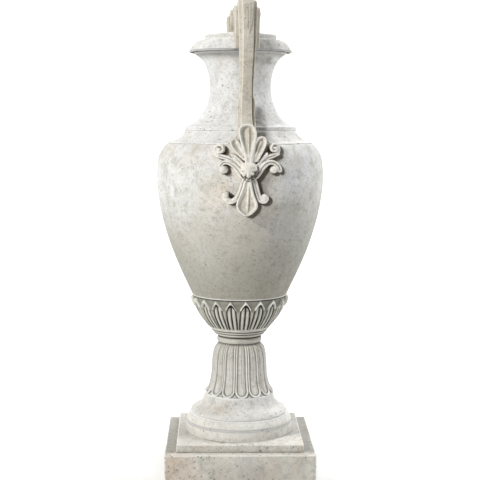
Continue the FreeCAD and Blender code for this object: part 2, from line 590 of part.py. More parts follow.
# Holes for the pins, at the same places as the pins themselves.
root_hole = pin("root_hole", S("rad_dowel"), S("half_dowel") * q(3), (q(0), S("out_handle_pin"), S("z_body") + q(3)))
bracket_hole_a = pin("bracket_hole_a", S("rad_dowel"), S("half_dowel") * q(2) + q(2),
                     (S("pin_apart"), S("rad_collar_top"), S("z_bracket_pin")), OUTWARD)
bracket_hole_b = pin("bracket_hole_b", S("rad_dowel"), S("half_dowel") * q(2) + q(2),
                     (q(0) - S("pin_apart"), S("rad_collar_top"), S("z_bracket_pin")), OUTWARD)
boss_hole = pin("boss_hole", S("rad_dowel"), S("half_dowel") * q(3), (q(0), S("rad_belly") - q(16), S("z_boss")), OUTWARD)

handle_tool = doc.addObject("Part::MultiFuse", "handle_tool")
handle_tool.Shapes = [vessel_form, root_hole]
bracket_tool = doc.addObject("Part::MultiFuse", "bracket_tool")
bracket_tool.Shapes = [vessel_form, bracket_hole_a, bracket_hole_b]


def fitted(label, base, tool, half_turn):
    cut = doc.addObject("Part::Cut", label)
    cut.Label = label
    cut.Base = base
    cut.Tool = tool
    cut.Placement = Placement(Vector(0, 0, 0), Rotation(Vector(0, 0, 1), half_turn + value["turn_urn"]))
    cut.setExpression(".Placement.Rotation.Angle", "(%r + Dims.turn_urn) * 1 deg" % half_turn)
    return keep(cut)


handle_front = fitted("handle_front", strap, handle_tool, 180.0)
handle_rear = fitted("handle_rear", strap, handle_tool, 0.0)
rim_bracket_front = fitted("rim_bracket_front", scroll, bracket_tool, 180.0)
rim_bracket_rear = fitted("rim_bracket_rear", scroll, bracket_tool, 0.0)

# ---------------------------------------------------------------- palmettes
# Each leaf is a flattened ellipsoid lying on the body: (side, height, distance from the
# axis, half width, half length, half thickness, lean in the face, slope of the surface).
LEAVES = [
    ("boss", 0.0, 627.0, 172.0, 13.0, 18.0, 13.0, 0.0, -8.0),
    ("crown", 0.0, 684.0, 155.0, 15.0, 34.0, 9.0, 0.0, -28.0),
    ("crown_left", -19.0, 668.0, 160.0, 9.0, 28.0, 8.0, 22.0, -24.0),
    ("crown_right", 19.0, 668.0, 160.0, 9.0, 28.0, 8.0, -22.0, -24.0),
    ("third_left", -24.0, 652.0, 165.0, 8.0, 24.0, 8.0, 44.0, -16.0),
    ("third_right", 24.0, 652.0, 165.0, 8.0, 24.0, 8.0, -44.0, -16.0),
    ("volute_left", -47.0, 663.0, 159.0, 12.0, 12.0, 8.0, 0.0, -14.0),
    ("volute_right", 47.0, 663.0, 159.0, 12.0, 12.0, 8.0, 0.0, -14.0),
    ("ribbon_left", -32.0, 637.0, 166.0, 7.0, 22.0, 7.0, 74.0, -8.0),
    ("ribbon_right", 32.0, 637.0, 166.0, 7.0, 22.0, 7.0, -74.0, -8.0),
    ("bud_left", -46.0, 630.0, 163.0, 10.0, 10.0, 8.0, 0.0, -6.0),
    ("bud_right", 46.0, 630.0, 163.0, 10.0, 10.0, 8.0, 0.0, -6.0),
    ("tongue", 0.0, 577.0, 171.0, 14.0, 38.0, 9.0, 0.0, 5.0),
    ("tail_left", -14.0, 588.0, 170.0, 7.0, 28.0, 8.0, -20.0, 2.0),
    ("tail_right", 14.0, 588.0, 170.0, 7.0, 28.0, 8.0, 20.0, 2.0),
    ("curl_left", -31.0, 573.0, 166.0, 11.0, 11.0, 9.0, 0.0, 3.0),
    ("curl_right", 31.0, 573.0, 166.0, 11.0, 11.0, 9.0, 0.0, 3.0),
]
leaves = []
for name, side, high, out, wide, long_, thick, lean, slope in LEAVES:
    leaf = doc.addObject("Part::Ellipsoid", name)
    leaf.Radius1 = long_
    leaf.Radius2 = wide
    leaf.Radius3 = thick
    leaf.Angle1, leaf.Angle2, leaf.Angle3 = -90.0, 90.0, 360.0
    round_body = math.degrees(math.asin(side / out))
    leaf.Placement = Placement(Vector(side, out * math.cos(math.radians(round_body)), high),
                               Rotation(Vector(0, 0, 1), -round_body)
                               .multiply(Rotation(Vector(1, 0, 0), -slope))
                               .multiply(Rotation(Vector(0, 1, 0), -lean))
                               .multiply(Rotation(Vector(0, 0, 1), 180)))
    leaf.setExpression(".Placement.Base.z", "Dims.z_boss + %r" % (high - value["z_boss"]))
    leaves.append(leaf)
foliage = doc.addObject("Part::MultiFuse", "foliage")
foliage.Shapes = leaves

# The crown leaf lies over the foot of the strap, so the strap's face trims it as well.
root_face = new_body("root_face")
side_pad(root_face, "root_wedge", [
    (q(95), S("z_strap_end") - q(6)), (S("rib_end") + q(2.7), S("z_strap_end") - q(6)), (S("rib_root"), S("z_strap_root")),
    (S("rib_root") - q(8), S("z_strap_root") + q(10)), (q(95), S("z_strap_root") + q(10))], {}, S("wide_root") + q(0.4))
palmette_tool = doc.addObject("Part::MultiFuse", "palmette_tool")
palmette_tool.Shapes = [vessel_form, root_face, boss_hole]
palmette_front = fitted("palmette_front", foliage, palmette_tool, 180.0)
palmette_rear = fitted("palmette_rear", foliage, palmette_tool, 0.0)


# ---------------------------------------------------------------- hardware
def group(label, members):
    compound = doc.addObject("Part::Compound", label)
    compound.Label = label
    compound.Links = members
    return keep(compound)


z_washer_low = S("recess_deep") - S("high_washer")
z_nut_low = z_washer_low - S("high_nut")
z_washer_high = S("z_floor_inside")
z_nut_high = z_washer_high + S("high_washer")

tie_rod = pin("tie_rod", S("rad_rod"), z_nut_high + S("high_nut") + q(8) - z_nut_low + q(6), (q(0), q(0), z_nut_low - q(6)))
tie_rod.Label = "tie_rod"
keep(tie_rod)


def hex_nut(name, low):
    prism = doc.addObject("Part::Prism", name + "_hexagon")
    prism.Polygon = 6
    prism.setExpression("Circumradius", "Dims.rad_nut")
    prism.setExpression("Height", "Dims.high_nut")
    prism.setExpression(".Placement.Base.z", low.text)
    cut = doc.addObject("Part::Cut", name)
    cut.Base = prism
    cut.Tool = pin(name + "_bore", S("rad_rod"), S("high_nut") + q(2), (q(0), q(0), low - q(1)))
    return cut


def tube(name, outer, inner, low, length):
    cut = doc.addObject("Part::Cut", name)
    cut.Base = pin(name + "_outer", outer, length, (q(0), q(0), low))
    cut.Tool = pin(name + "_inner", inner, length + q(2), (q(0), q(0), low - q(1)))
    return cut


rod_nuts = group("rod_nuts", [hex_nut("nut_low", z_nut_low), hex_nut("nut_high", z_nut_high)])
rod_washers = group("rod_washers", [
    tube("washer_low", S("rad_washer"), S("bore_rod"), z_washer_low, S("high_washer")),
    tube("washer_high", S("rad_washer"), S("bore_rod"), z_washer_high, S("high_washer"))])
centring_sleeves = group("centring_sleeves", [
    tube("sleeve_%s" % name, S("rad_sleeve"), S("bore_rod"), S(level) - S("half_sleeve"), S("half_sleeve") * q(2))
    for name, level in (("step", "z_step"), ("disc", "z_disc"), ("bell", "z_bell"), ("knop", "z_knop"))])


def dowels(label, count, pitch, start, low, length):
    members = []
    for i, (x, y) in enumerate(ring_places(count, pitch, start)):
        members.append(pin("%s_%s" % (label, "abcdef"[i]), S("rad_dowel"), length, (x, y, low)))
    return group(label, members)


plinth_dowels = dowels("plinth_dowels", 4, S("pitch_plinth_dowel"), 45.0, S("z_plinth") - S("half_dowel"), S("half_dowel") * q(2))
flank_dowels = dowels("flank_dowels", 6, S("pitch_flank_dowel"), 0.0, S("z_flank") - S("half_dowel"), S("half_dowel") * q(2))
belly_dowels = dowels("belly_dowels", 6, S("pitch_belly_dowel"), 0.0, S("z_belly") - S("half_dowel"), S("half_dowel") * q(2))
shoulder_dowels = dowels("shoulder_dowels", 6, S("pitch_shoulder_dowel"), 30.0, S("z_body") - S("half_dowel"),
                         S("half_dowel") * q(1.5))
neck_dowels = dowels("neck_dowels", 4, S("pitch_neck_dowel"), 45.0, S("z_ring") - S("half_dowel"), S("half_dowel") * q(1.5))
collar_dowels = dowels("collar_dowels", 4, S("pitch_collar_dowel"), 45.0, S("z_neck") - S("half_dowel"), S("half_dowel") * q(2))
handle_pins = dowels("handle_pins", 2, S("out_handle_pin"), 90.0 + value["turn_urn"], S("z_body") + q(3),
                     S("half_dowel") * q(3))


def turned_group(label, members):
    compound = group(label, members)
    compound.Placement = Placement(Vector(0, 0, 0), Rotation(Vector(0, 0, 1), value["turn_urn"]))
    compound.setExpression(".Placement.Rotation.Angle", "Dims.turn_urn * 1 deg")
    return compound


INWARD = Rotation(Vector(1, 0, 0), 90)
bracket_pins = turned_group("bracket_pins", [
    pin("bracket_pin_%s" % n, S("rad_dowel"), S("half_dowel") * q(2) + q(2), (x, y, S("z_bracket_pin")), r)
    for n, x, y, r in (("a", S("pin_apart"), S("rad_collar_top"), OUTWARD),
                       ("b", q(0) - S("pin_apart"), S("rad_collar_top"), OUTWARD),
                       ("c", S("pin_apart"), q(0) - S("rad_collar_top"), INWARD),
                       ("d", q(0) - S("pin_apart"), q(0) - S("rad_collar_top"), INWARD))])
palmette_pins = turned_group("palmette_pins", [
    pin("palmette_pin_rear", S("rad_dowel"), S("half_dowel") * q(3), (q(0), S("rad_belly") - q(16), S("z_boss")), OUTWARD),
    pin("palmette_pin_front", S("rad_dowel"), S("half_dowel") * q(3), (q(0), q(16) - S("rad_belly"), S("z_boss")), INWARD)])


# ---------------------------------------------------------------- level holes for the pins
def blind_cut(label, body, members):
    """A finished casting less its level pin holes, kept under the casting's own name."""
    tool = doc.addObject("Part::Compound", label + "_holes")
    tool.Links = members
    cut = doc.addObject("Part::Cut", label + "_drilled")
    cut.Base = body
    cut.Tool = tool
    nodes[nodes.index(body)] = cut
    body.Label = label + "_casting"
    cut.Label = label
    return cut


collar_cut = blind_cut("rim_collar", rim_collar, [bracket_pins])
body_cut = blind_cut("body_top", body_top, [palmette_pins])

doc.recompute()

# ---------------------------------------------------------------- tests, then the files
failed = []
if foliage.Shape.Volume < 0.9 * sum(leaf.Shape.Volume for leaf in leaves):
    failed.append("foliage: a leaf is missing")
for obj in doc.Objects:
    if "Invalid" in obj.State or "Error" in obj.State:
        failed.append("%s: %s" % (obj.Name, obj.State))
for obj in nodes:
    shape = obj.Shape
    if shape.isNull() or not shape.isValid() or not shape.Solids:
        failed.append("%s: bad shape" % obj.Label)
if failed:
    raise RuntimeError("; ".join(failed))
if len(set(obj.Label for obj in nodes)) != len(nodes):
    raise RuntimeError("two sub-parts share a label")

for obj in nodes:
    obj.Shape.exportStep("parts/%s.step" % obj.Label)
    box = obj.Shape.BoundBox
    print("%-20s solids %d volume %9.1f cm3  z %.1f to %.1f" % (
        obj.Label, len(obj.Shape.Solids), obj.Shape.Volume / 1000.0, box.ZMin, box.ZMax))
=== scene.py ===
import math

import bpy
import bmesh
import numpy as np
from mathutils import Matrix, Vector, kdtree


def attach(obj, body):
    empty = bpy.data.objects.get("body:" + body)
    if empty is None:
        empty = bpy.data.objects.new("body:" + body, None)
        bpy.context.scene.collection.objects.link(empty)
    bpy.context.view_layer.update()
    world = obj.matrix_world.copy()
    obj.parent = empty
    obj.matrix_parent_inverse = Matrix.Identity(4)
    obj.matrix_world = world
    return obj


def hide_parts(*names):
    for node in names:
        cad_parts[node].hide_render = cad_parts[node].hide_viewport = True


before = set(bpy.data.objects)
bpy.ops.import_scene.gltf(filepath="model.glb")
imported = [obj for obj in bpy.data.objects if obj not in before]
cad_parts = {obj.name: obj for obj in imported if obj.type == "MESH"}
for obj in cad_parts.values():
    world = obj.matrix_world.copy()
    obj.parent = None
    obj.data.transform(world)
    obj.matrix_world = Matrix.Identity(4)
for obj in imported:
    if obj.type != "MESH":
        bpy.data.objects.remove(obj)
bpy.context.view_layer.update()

MM = 0.001
TURN = math.radians(4.0)          # the handles stand 4 degrees round from the plinth's front


# ------------------------------------------------------------------ numbers in space
def hash01(ix, iy, iz, seed):
    n = (ix.astype(np.int64) * 374761393 + iy.astype(np.int64) * 668265263
         + iz.astype(np.int64) * 2147483647 + np.int64(seed) * 1274126177)
    n = (n ^ (n >> 13)) * 1274126177
    n = n ^ (n >> 16)
    return (n & 0xFFFFFF).astype(np.float64) / float(0xFFFFFF)


def noise(p, size, seed=0):
    """Smooth value noise in -1..1; p in mm, size is the width of one lump in mm."""
    q = p / size
    i = np.floor(q)
    f = q - i
    f = f * f * (3 - 2 * f)
    i = i.astype(np.int64)
    out = np.zeros(len(p))
    for dx in (0, 1):
        for dy in (0, 1):
            for dz in (0, 1):
                w = ((f[:, 0] if dx else 1 - f[:, 0]) * (f[:, 1] if dy else 1 - f[:, 1])
                     * (f[:, 2] if dz else 1 - f[:, 2]))
                out += w * hash01(i[:, 0] + dx, i[:, 1] + dy, i[:, 2] + dz, seed)
    return out * 2 - 1


def smooth(lo, hi, x):
    t = np.clip((x - lo) / (hi - lo), 0, 1)
    return t * t * (3 - 2 * t)


def bump(x, width):
    return np.exp(-(x / width) ** 2)


def arc(p0, p1, radius, side, count):
    """Points along an arc from p0 to p1, bowed to the left of the run (side 1) or right (-1)."""
    a, b = np.array(p0, float), np.array(p1, float)
    chord = b - a
    length = np.hypot(*chord)
    normal = np.array([-chord[1], chord[0]]) / length
    depth = math.sqrt(max(radius ** 2 - (length / 2) ** 2, 0.0))
    c = (a + b) / 2 - normal * side * depth
    t0 = math.atan2(a[1] - c[1], a[0] - c[0])
    t1 = math.atan2(b[1] - c[1], b[0] - c[0])
    if side > 0:
        while t1 > t0:
            t1 -= 2 * math.pi
    else:
        while t1 < t0:
            t1 += 2 * math.pi
    t = np.linspace(t0, t1, count)
    return np.stack([c[0] + radius * np.cos(t), c[1] + radius * np.sin(t)], 1)


def pchip(xs, ys, x):
    """Monotone cubic through the knots."""
    xs, ys = np.asarray(xs, float), np.asarray(ys, float)
    h = np.diff(xs)
    d = np.diff(ys) / h
    m = np.zeros(len(xs))
    m[0], m[-1] = d[0], d[-1]
    for k in range(1, len(xs) - 1):
        if d[k - 1] * d[k] > 0:
            w1, w2 = 2 * h[k] + h[k - 1], h[k] + 2 * h[k - 1]
            m[k] = (w1 + w2) / (w1 / d[k - 1] + w2 / d[k])
    k = np.clip(np.searchsorted(xs, x) - 1, 0, len(h) - 1)
    t = (x - xs[k]) / h[k]
    return ((2 * t ** 3 - 3 * t ** 2 + 1) * ys[k] + (t ** 3 - 2 * t ** 2 + t) * h[k] * m[k]
            + (-2 * t ** 3 + 3 * t ** 2) * ys[k + 1] + (t ** 3 - t ** 2) * h[k] * m[k + 1])


def resample(points, step):
    """Points along the polyline about step apart, keeping its corners."""
    points = np.asarray(points, float)
    out = [points[0]]
    for a, b in zip(points[:-1], points[1:]):
        n = max(1, int(round(np.hypot(*(b - a)) / step)))
        for k in range(1, n + 1):
            out.append(a + (b - a) * k / n)
    return np.array(out)


def rounded(points, radius, step=0.8):
    """The polyline with its inner corners eased by small arcs (quadratic curves)."""
    points = np.asarray(points, float)
    out = [points[0]]
    for i in range(1, len(points) - 1):
        a, b, c = points[i - 1], points[i], points[i + 1]
        la, lc = np.hypot(*(a - b)), np.hypot(*(c - b))
        ra = min(radius, la * 0.45)
        rc = min(radius, lc * 0.45)
        p, s = b + (a - b) / la * ra, b + (c - b) / lc * rc
        turn = abs(np.cross((b - a) / la, (c - b) / lc))
        if turn < 0.12:
            out.append(b)
            continue
        n = max(3, int(radius / step) + 2)
        for t in np.linspace(0, 1, n):
            out.append((1 - t) ** 2 * p + 2 * t * (1 - t) * b + t * t * s)
    out.append(points[-1])
    return np.array(out)


# ------------------------------------------------------------------ meshes
def make_mesh(name, co, faces, attributes=None, shade=True):
    """Mesh object from points in mm and a face array (quads or triangles)."""
    mesh = bpy.data.meshes.new(name)
    faces = np.asarray(faces)
    side = faces.shape[1]
    mesh.vertices.add(len(co))
    mesh.vertices.foreach_set("co", (np.asarray(co, np.float32) * MM).ravel())
    mesh.loops.add(faces.size)
    mesh.loops.foreach_set("vertex_index", faces.astype(np.int32).ravel())
    mesh.polygons.add(len(faces))
    mesh.polygons.foreach_set("loop_start", np.arange(0, faces.size, side, dtype=np.int32))
    mesh.polygons.foreach_set("use_smooth", np.full(len(faces), shade))
    for key, values in (attributes or {}).items():
        mesh.attributes.new(key, "FLOAT", "POINT").data.foreach_set("value", np.asarray(values, np.float32))
    mesh.update(calc_edges=True)
    mesh.validate()
    obj = bpy.data.objects.new(name, mesh)
    bpy.context.scene.collection.objects.link(obj)
    return obj


def grid_faces(rows, cols, wrap_rows, wrap_cols):
    r = np.arange(rows if wrap_rows else rows - 1)
    c = np.arange(cols if wrap_cols else cols - 1)
    R, C = np.meshgrid(r, c, indexing="ij")
    R2, C2 = (R + 1) % rows, (C + 1) % cols
    return np.stack([R * cols + C, R * cols + C2, R2 * cols + C2, R2 * cols + C], -1).reshape(-1, 4)


def grid_normals(P, wrap_rows, wrap_cols):
    """Normals of a grid of points (rows, cols, 3)."""
    def diff(A, axis, wrap):
        if wrap:
            return np.roll(A, -1, axis) - np.roll(A, 1, axis)
        return np.gradient(A, axis=axis)
    n = np.cross(diff(P, 1, wrap_cols), diff(P, 0, wrap_rows))
    return n / np.maximum(np.linalg.norm(n, axis=2, keepdims=True), 1e-12)


PITS = []      # (centre, radius) of every modelled pit, for the colour of later pieces


def weather(P, N, seed, undulation=0.28, grain=0.10, pits=0.0, pit_size=(1.2, 2.6), pit_depth=0.55, keep=None):
    """Hand-finished stone: low swells, grain and scattered pits. P, N flat arrays in mm.
    Returns the moved points and the pit attribute."""
    h = undulation * (noise(P, 34.0, seed) + 0.5 * noise(P, 15.0, seed + 1))
    h += grain * (noise(P, 5.0, seed + 2) + 0.6 * noise(P, 2.4, seed + 3))
    dark = np.zeros(len(P))
    if pits > 0:
        rng = np.random.default_rng(seed)
        candidates = np.arange(len(P)) if keep is None else np.nonzero(keep)[0]
        count = int(pits)
        chosen = rng.choice(candidates, size=min(count, len(candidates)), replace=False)
        # pits gather in patches, as bubbles do against a mould
        dense = noise(P[chosen], 60.0, seed + 9) + 0.35 * noise(P[chosen], 22.0, seed + 10)
        chosen = chosen[dense + 0.35 * rng.standard_normal(len(chosen)) > -0.05]
        tree = kdtree.KDTree(len(P))
        for i, p in enumerate(P):
            tree.insert(p, i)
        tree.balance()
        for i in chosen:
            radius = pit_size[0] + (pit_size[1] - pit_size[0]) * rng.random() ** 2.5
            depth = pit_depth * radius * (0.7 + 0.6 * rng.random())
            for _, j, dist in tree.find_range(P[i], radius * 1.5):
                f = max(0.0, 1 - (dist / (radius * 1.25)) ** 2)
                h[j] -= depth * f ** 1.5
                dark[j] = max(dark[j], f)
    return P + N * h[:, None], dark


def revolve(name, outer, inner, columns, step=2.0, seed=1, relief=None, edge_round=1.2, undulation=0.28, grain=0.10,
            pits=0, pit_size=(1.2, 2.6), pit_depth=0.55, chip=0.5, cavity=None, inner_step=9.0, turn=0.0):
    """Closed ring-shaped casting. outer: (radius, height) points up the seen side; inner: the hidden side, going back
    down. relief(theta, rz, arclength) -> (height along the normal, cavity 0..1)."""
    out = resample(rounded(outer, edge_round), step)
    back = resample(inner, inner_step)
    if np.hypot(*(back[0] - out[-1])) < 0.05:
        back = back[1:]
    if np.hypot(*(back[-1] - out[0])) < 0.05:
        back = back[:-1]
    loop = np.vstack([out, back])
    seen = np.arange(len(loop)) < len(out)
    rows = len(loop)
    theta = np.arange(columns) * 2 * math.pi / columns
    R, T = np.meshgrid(loop[:, 0], theta, indexing="ij")
    Z = np.repeat(loop[:, 1][:, None], columns, 1)
    P = np.stack([R * np.sin(T), -R * np.cos(T), Z], -1)
    # profile normals, pointing out of the stone
    d = np.roll(loop, -1, 0) - np.roll(loop, 1, 0)
    d[0], d[len(out) - 1] = loop[1] - loop[0], loop[len(out) - 1] - loop[len(out) - 2]
    nr, nz = d[:, 1], -d[:, 0]
    ln = np.maximum(np.hypot(nr, nz), 1e-9)
    nr, nz = nr / ln, nz / ln
    N = np.stack([nr[:, None] * np.sin(T), -nr[:, None] * np.cos(T), np.repeat(nz[:, None], columns, 1)], -1)
    # how convex the profile is, for worn edges with painted highlight and hollows with painted shade
    bend = np.zeros(rows)
    a = np.unwrap(np.arctan2(np.roll(loop, -1, 0)[:, 1] - loop[:, 1], np.roll(loop, -1, 0)[:, 0] - loop[:, 0]))
    seg = np.hypot(*(np.roll(loop, -1, 0) - loop).T)
    turn_here = a - np.roll(a, 1)
    bend = turn_here / np.maximum((seg + np.roll(seg, 1)) / 2, 0.2)
    bend[~seen] = 0
    bend[0] = bend[len(out) - 1] = 0
    s = np.concatenate([[0], np.cumsum(np.hypot(*np.diff(loop, axis=0).T))])
    convex, hollow = np.zeros(rows), np.zeros(rows)
    for i in np.nonzero(np.abs(bend) > 0.02)[0]:
        w = np.clip(abs(bend[i]) * 1.2, 0, 1)
        target = convex if bend[i] > 0 else hollow
        np.maximum(target, w * np.exp(-((s - s[i]) / (2.2 if bend[i] > 0 else 2.8)) ** 2), out=target)
    h = np.zeros((rows, columns))
    cav = np.repeat(hollow[:, None], columns, 1)
    wear_and_highlight = np.repeat(convex[:, None], columns, 1)
    if relief is not None:
        rh, rc, rw = relief(T + turn, R, Z, np.repeat(s[:, None], columns, 1))
        mask = seen[:, None] & (Z > -1)
        h = np.where(mask, rh, 0.0)
        cav = np.clip(cav + np.where(mask, rc, 0.0), 0, 1)
        wear_and_highlight = np.clip(wear_and_highlight + np.where(mask, rw, 0.0), 0, 1)
    P = P + N * h[..., None]
    if relief is not None:
        N2 = grid_normals(P, True, True)
        flip = np.sign((N2 * N).sum(-1, keepdims=True))
        N = np.where(seen[:, None, None], N2 * np.where(flip == 0, 1, flip), N)
    flatP, flatN = P.reshape(-1, 3), N.reshape(-1, 3)
    seen_all = np.repeat(seen, columns)
    if chip:
        rough = np.clip(noise(flatP, 7.0, seed + 20) + 0.5 * noise(flatP, 3.0, seed + 21) - 0.15, 0, 1)
        flatP = flatP - flatN * (chip * (0.25 + 2.2 * rough) * np.repeat(convex, columns) * seen_all)[:, None]
    moved, dark = weather(flatP, flatN, seed, undulation, grain, pits, pit_size, pit_depth, keep=seen_all)
    co = np.where(seen_all[:, None], moved, flatP)
    faces = grid_faces(rows, columns, True, True)[:, ::-1]
    obj = make_mesh(name, co, faces, {"cav": cav.ravel(), "wear_and_highlight": wear_and_highlight.ravel(), "pit": dark})
    fix_normals(obj)
    return obj


def fix_normals(obj):
    """Faces outward: the signed volume is positive."""
    mesh = obj.data
    mesh.calc_loop_triangles()
    tri = np.zeros(len(mesh.loop_triangles) * 3, np.int32)
    mesh.loop_triangles.foreach_get("vertices", tri)
    co = np.zeros(len(mesh.vertices) * 3, np.float32)
    mesh.vertices.foreach_get("co", co)
    t = co.reshape(-1, 3).astype(float)[tri.reshape(-1, 3)]
    if np.einsum("ij,ij->i", t[:, 0], np.cross(t[:, 1], t[:, 2])).sum() < 0:
        mesh.flip_normals()


# ------------------------------------------------------------------ materials
def node(tree, kind, **inputs):
    n = tree.nodes.new(kind)
    for key, val in inputs.items():
        setattr(n, key, val)
    return n


class Shader:
    """Small helper that keeps a material's node code short."""

    def __init__(self, name):
        self.m = bpy.data.materials.new(name)
        self.m.use_nodes = True
        self.t = self.m.node_tree
        self.t.nodes.clear()
        self.out = self.t.nodes.new("ShaderNodeOutputMaterial")
        self.b = self.t.nodes.new("ShaderNodeBsdfPrincipled")
        self.t.links.new(self.b.outputs[0], self.out.inputs[0])
        self.xyz = self.t.nodes.new("ShaderNodeTexCoord").outputs["Object"]

    def link(self, a, b):
        self.t.links.new(a, b)

    def noise(self, scale, detail=4.0, rough=0.55, distortion=0.0, offset=(0, 0, 0), stretch=(1, 1, 1)):
        mp = self.t.nodes.new("ShaderNodeMapping")
        mp.inputs["Location"].default_value = offset
        mp.inputs["Scale"].default_value = stretch
        self.link(self.xyz, mp.inputs["Vector"])
        n = self.t.nodes.new("ShaderNodeTexNoise")
        n.inputs["Scale"].default_value = scale
        n.inputs["Detail"].default_value = detail
        n.inputs["Roughness"].default_value = rough
        n.inputs["Distortion"].default_value = distortion
        self.link(mp.outputs[0], n.inputs["Vector"])
        return n.outputs[0]

    def voronoi(self, scale, offset=(0, 0, 0), randomness=1.0, feature="F1", out="Distance"):
        mp = self.t.nodes.new("ShaderNodeMapping")
        mp.inputs["Location"].default_value = offset
        self.link(self.xyz, mp.inputs["Vector"])
        n = self.t.nodes.new("ShaderNodeTexVoronoi")
        n.feature = feature
        n.inputs["Scale"].default_value = scale
        n.inputs["Randomness"].default_value = randomness
        self.link(mp.outputs[0], n.inputs["Vector"])
        return n.outputs[out]

    def ramp(self, value, stops, mode="LINEAR"):
        n = self.t.nodes.new("ShaderNodeValToRGB")
        n.color_ramp.interpolation = mode
        e = n.color_ramp.elements
        while len(e) < len(stops):
            e.new(0.5)
        for k, (pos, col) in enumerate(stops):
            e[k].position = pos
            e[k].color = (col, col, col, 1) if isinstance(col, float) else (*col, 1)
        self.link(value, n.inputs[0])
        return n.outputs[0]

    def remap(self, value, a, b, c=0.0, d=1.0):
        n = self.t.nodes.new("ShaderNodeMapRange")
        n.interpolation_type = "SMOOTHSTEP"
        for k, v in zip(("From Min", "From Max", "To Min", "To Max"), (a, b, c, d)):
            n.inputs[k].default_value = v
        self.link(value, n.inputs["Value"])
        return n.outputs[0]

    def mix(self, fac, a, b, kind="MIX"):
        n = self.t.nodes.new("ShaderNodeMix")
        n.data_type = "RGBA"
        n.blend_type = kind
        for sock, v in ((n.inputs[0], fac), (n.inputs[6], a), (n.inputs[7], b)):
            if isinstance(v, (int, float)):
                sock.default_value = v
            elif isinstance(v, tuple):
                sock.default_value = (*v, 1)
            else:
                self.link(v, sock)
        return n.outputs[2]

    def math(self, op, a, b=0.0):
        n = self.t.nodes.new("ShaderNodeMath")
        n.operation = op
        n.use_clamp = False
        for sock, v in ((n.inputs[0], a), (n.inputs[1], b)):
            if isinstance(v, (int, float)):
                sock.default_value = v
            else:
                self.link(v, sock)
        return n.outputs[0]

    def attribute(self, name):
        n = self.t.nodes.new("ShaderNodeAttribute")
        n.attribute_name = name
        return n.outputs["Fac"]

    def axis(self, which):
        n = self.t.nodes.new("ShaderNodeSeparateXYZ")
        self.link(self.xyz, n.inputs[0])
        return n.outputs[which]

    def bump(self, height, strength, distance, normal=None):
        n = self.t.nodes.new("ShaderNodeBump")
        n.inputs["Strength"].default_value = strength
        n.inputs["Distance"].default_value = distance
        self.link(height, n.inputs["Height"])
        if normal is not None:
            self.link(normal, n.inputs["Normal"])
        return n.outputs[0]


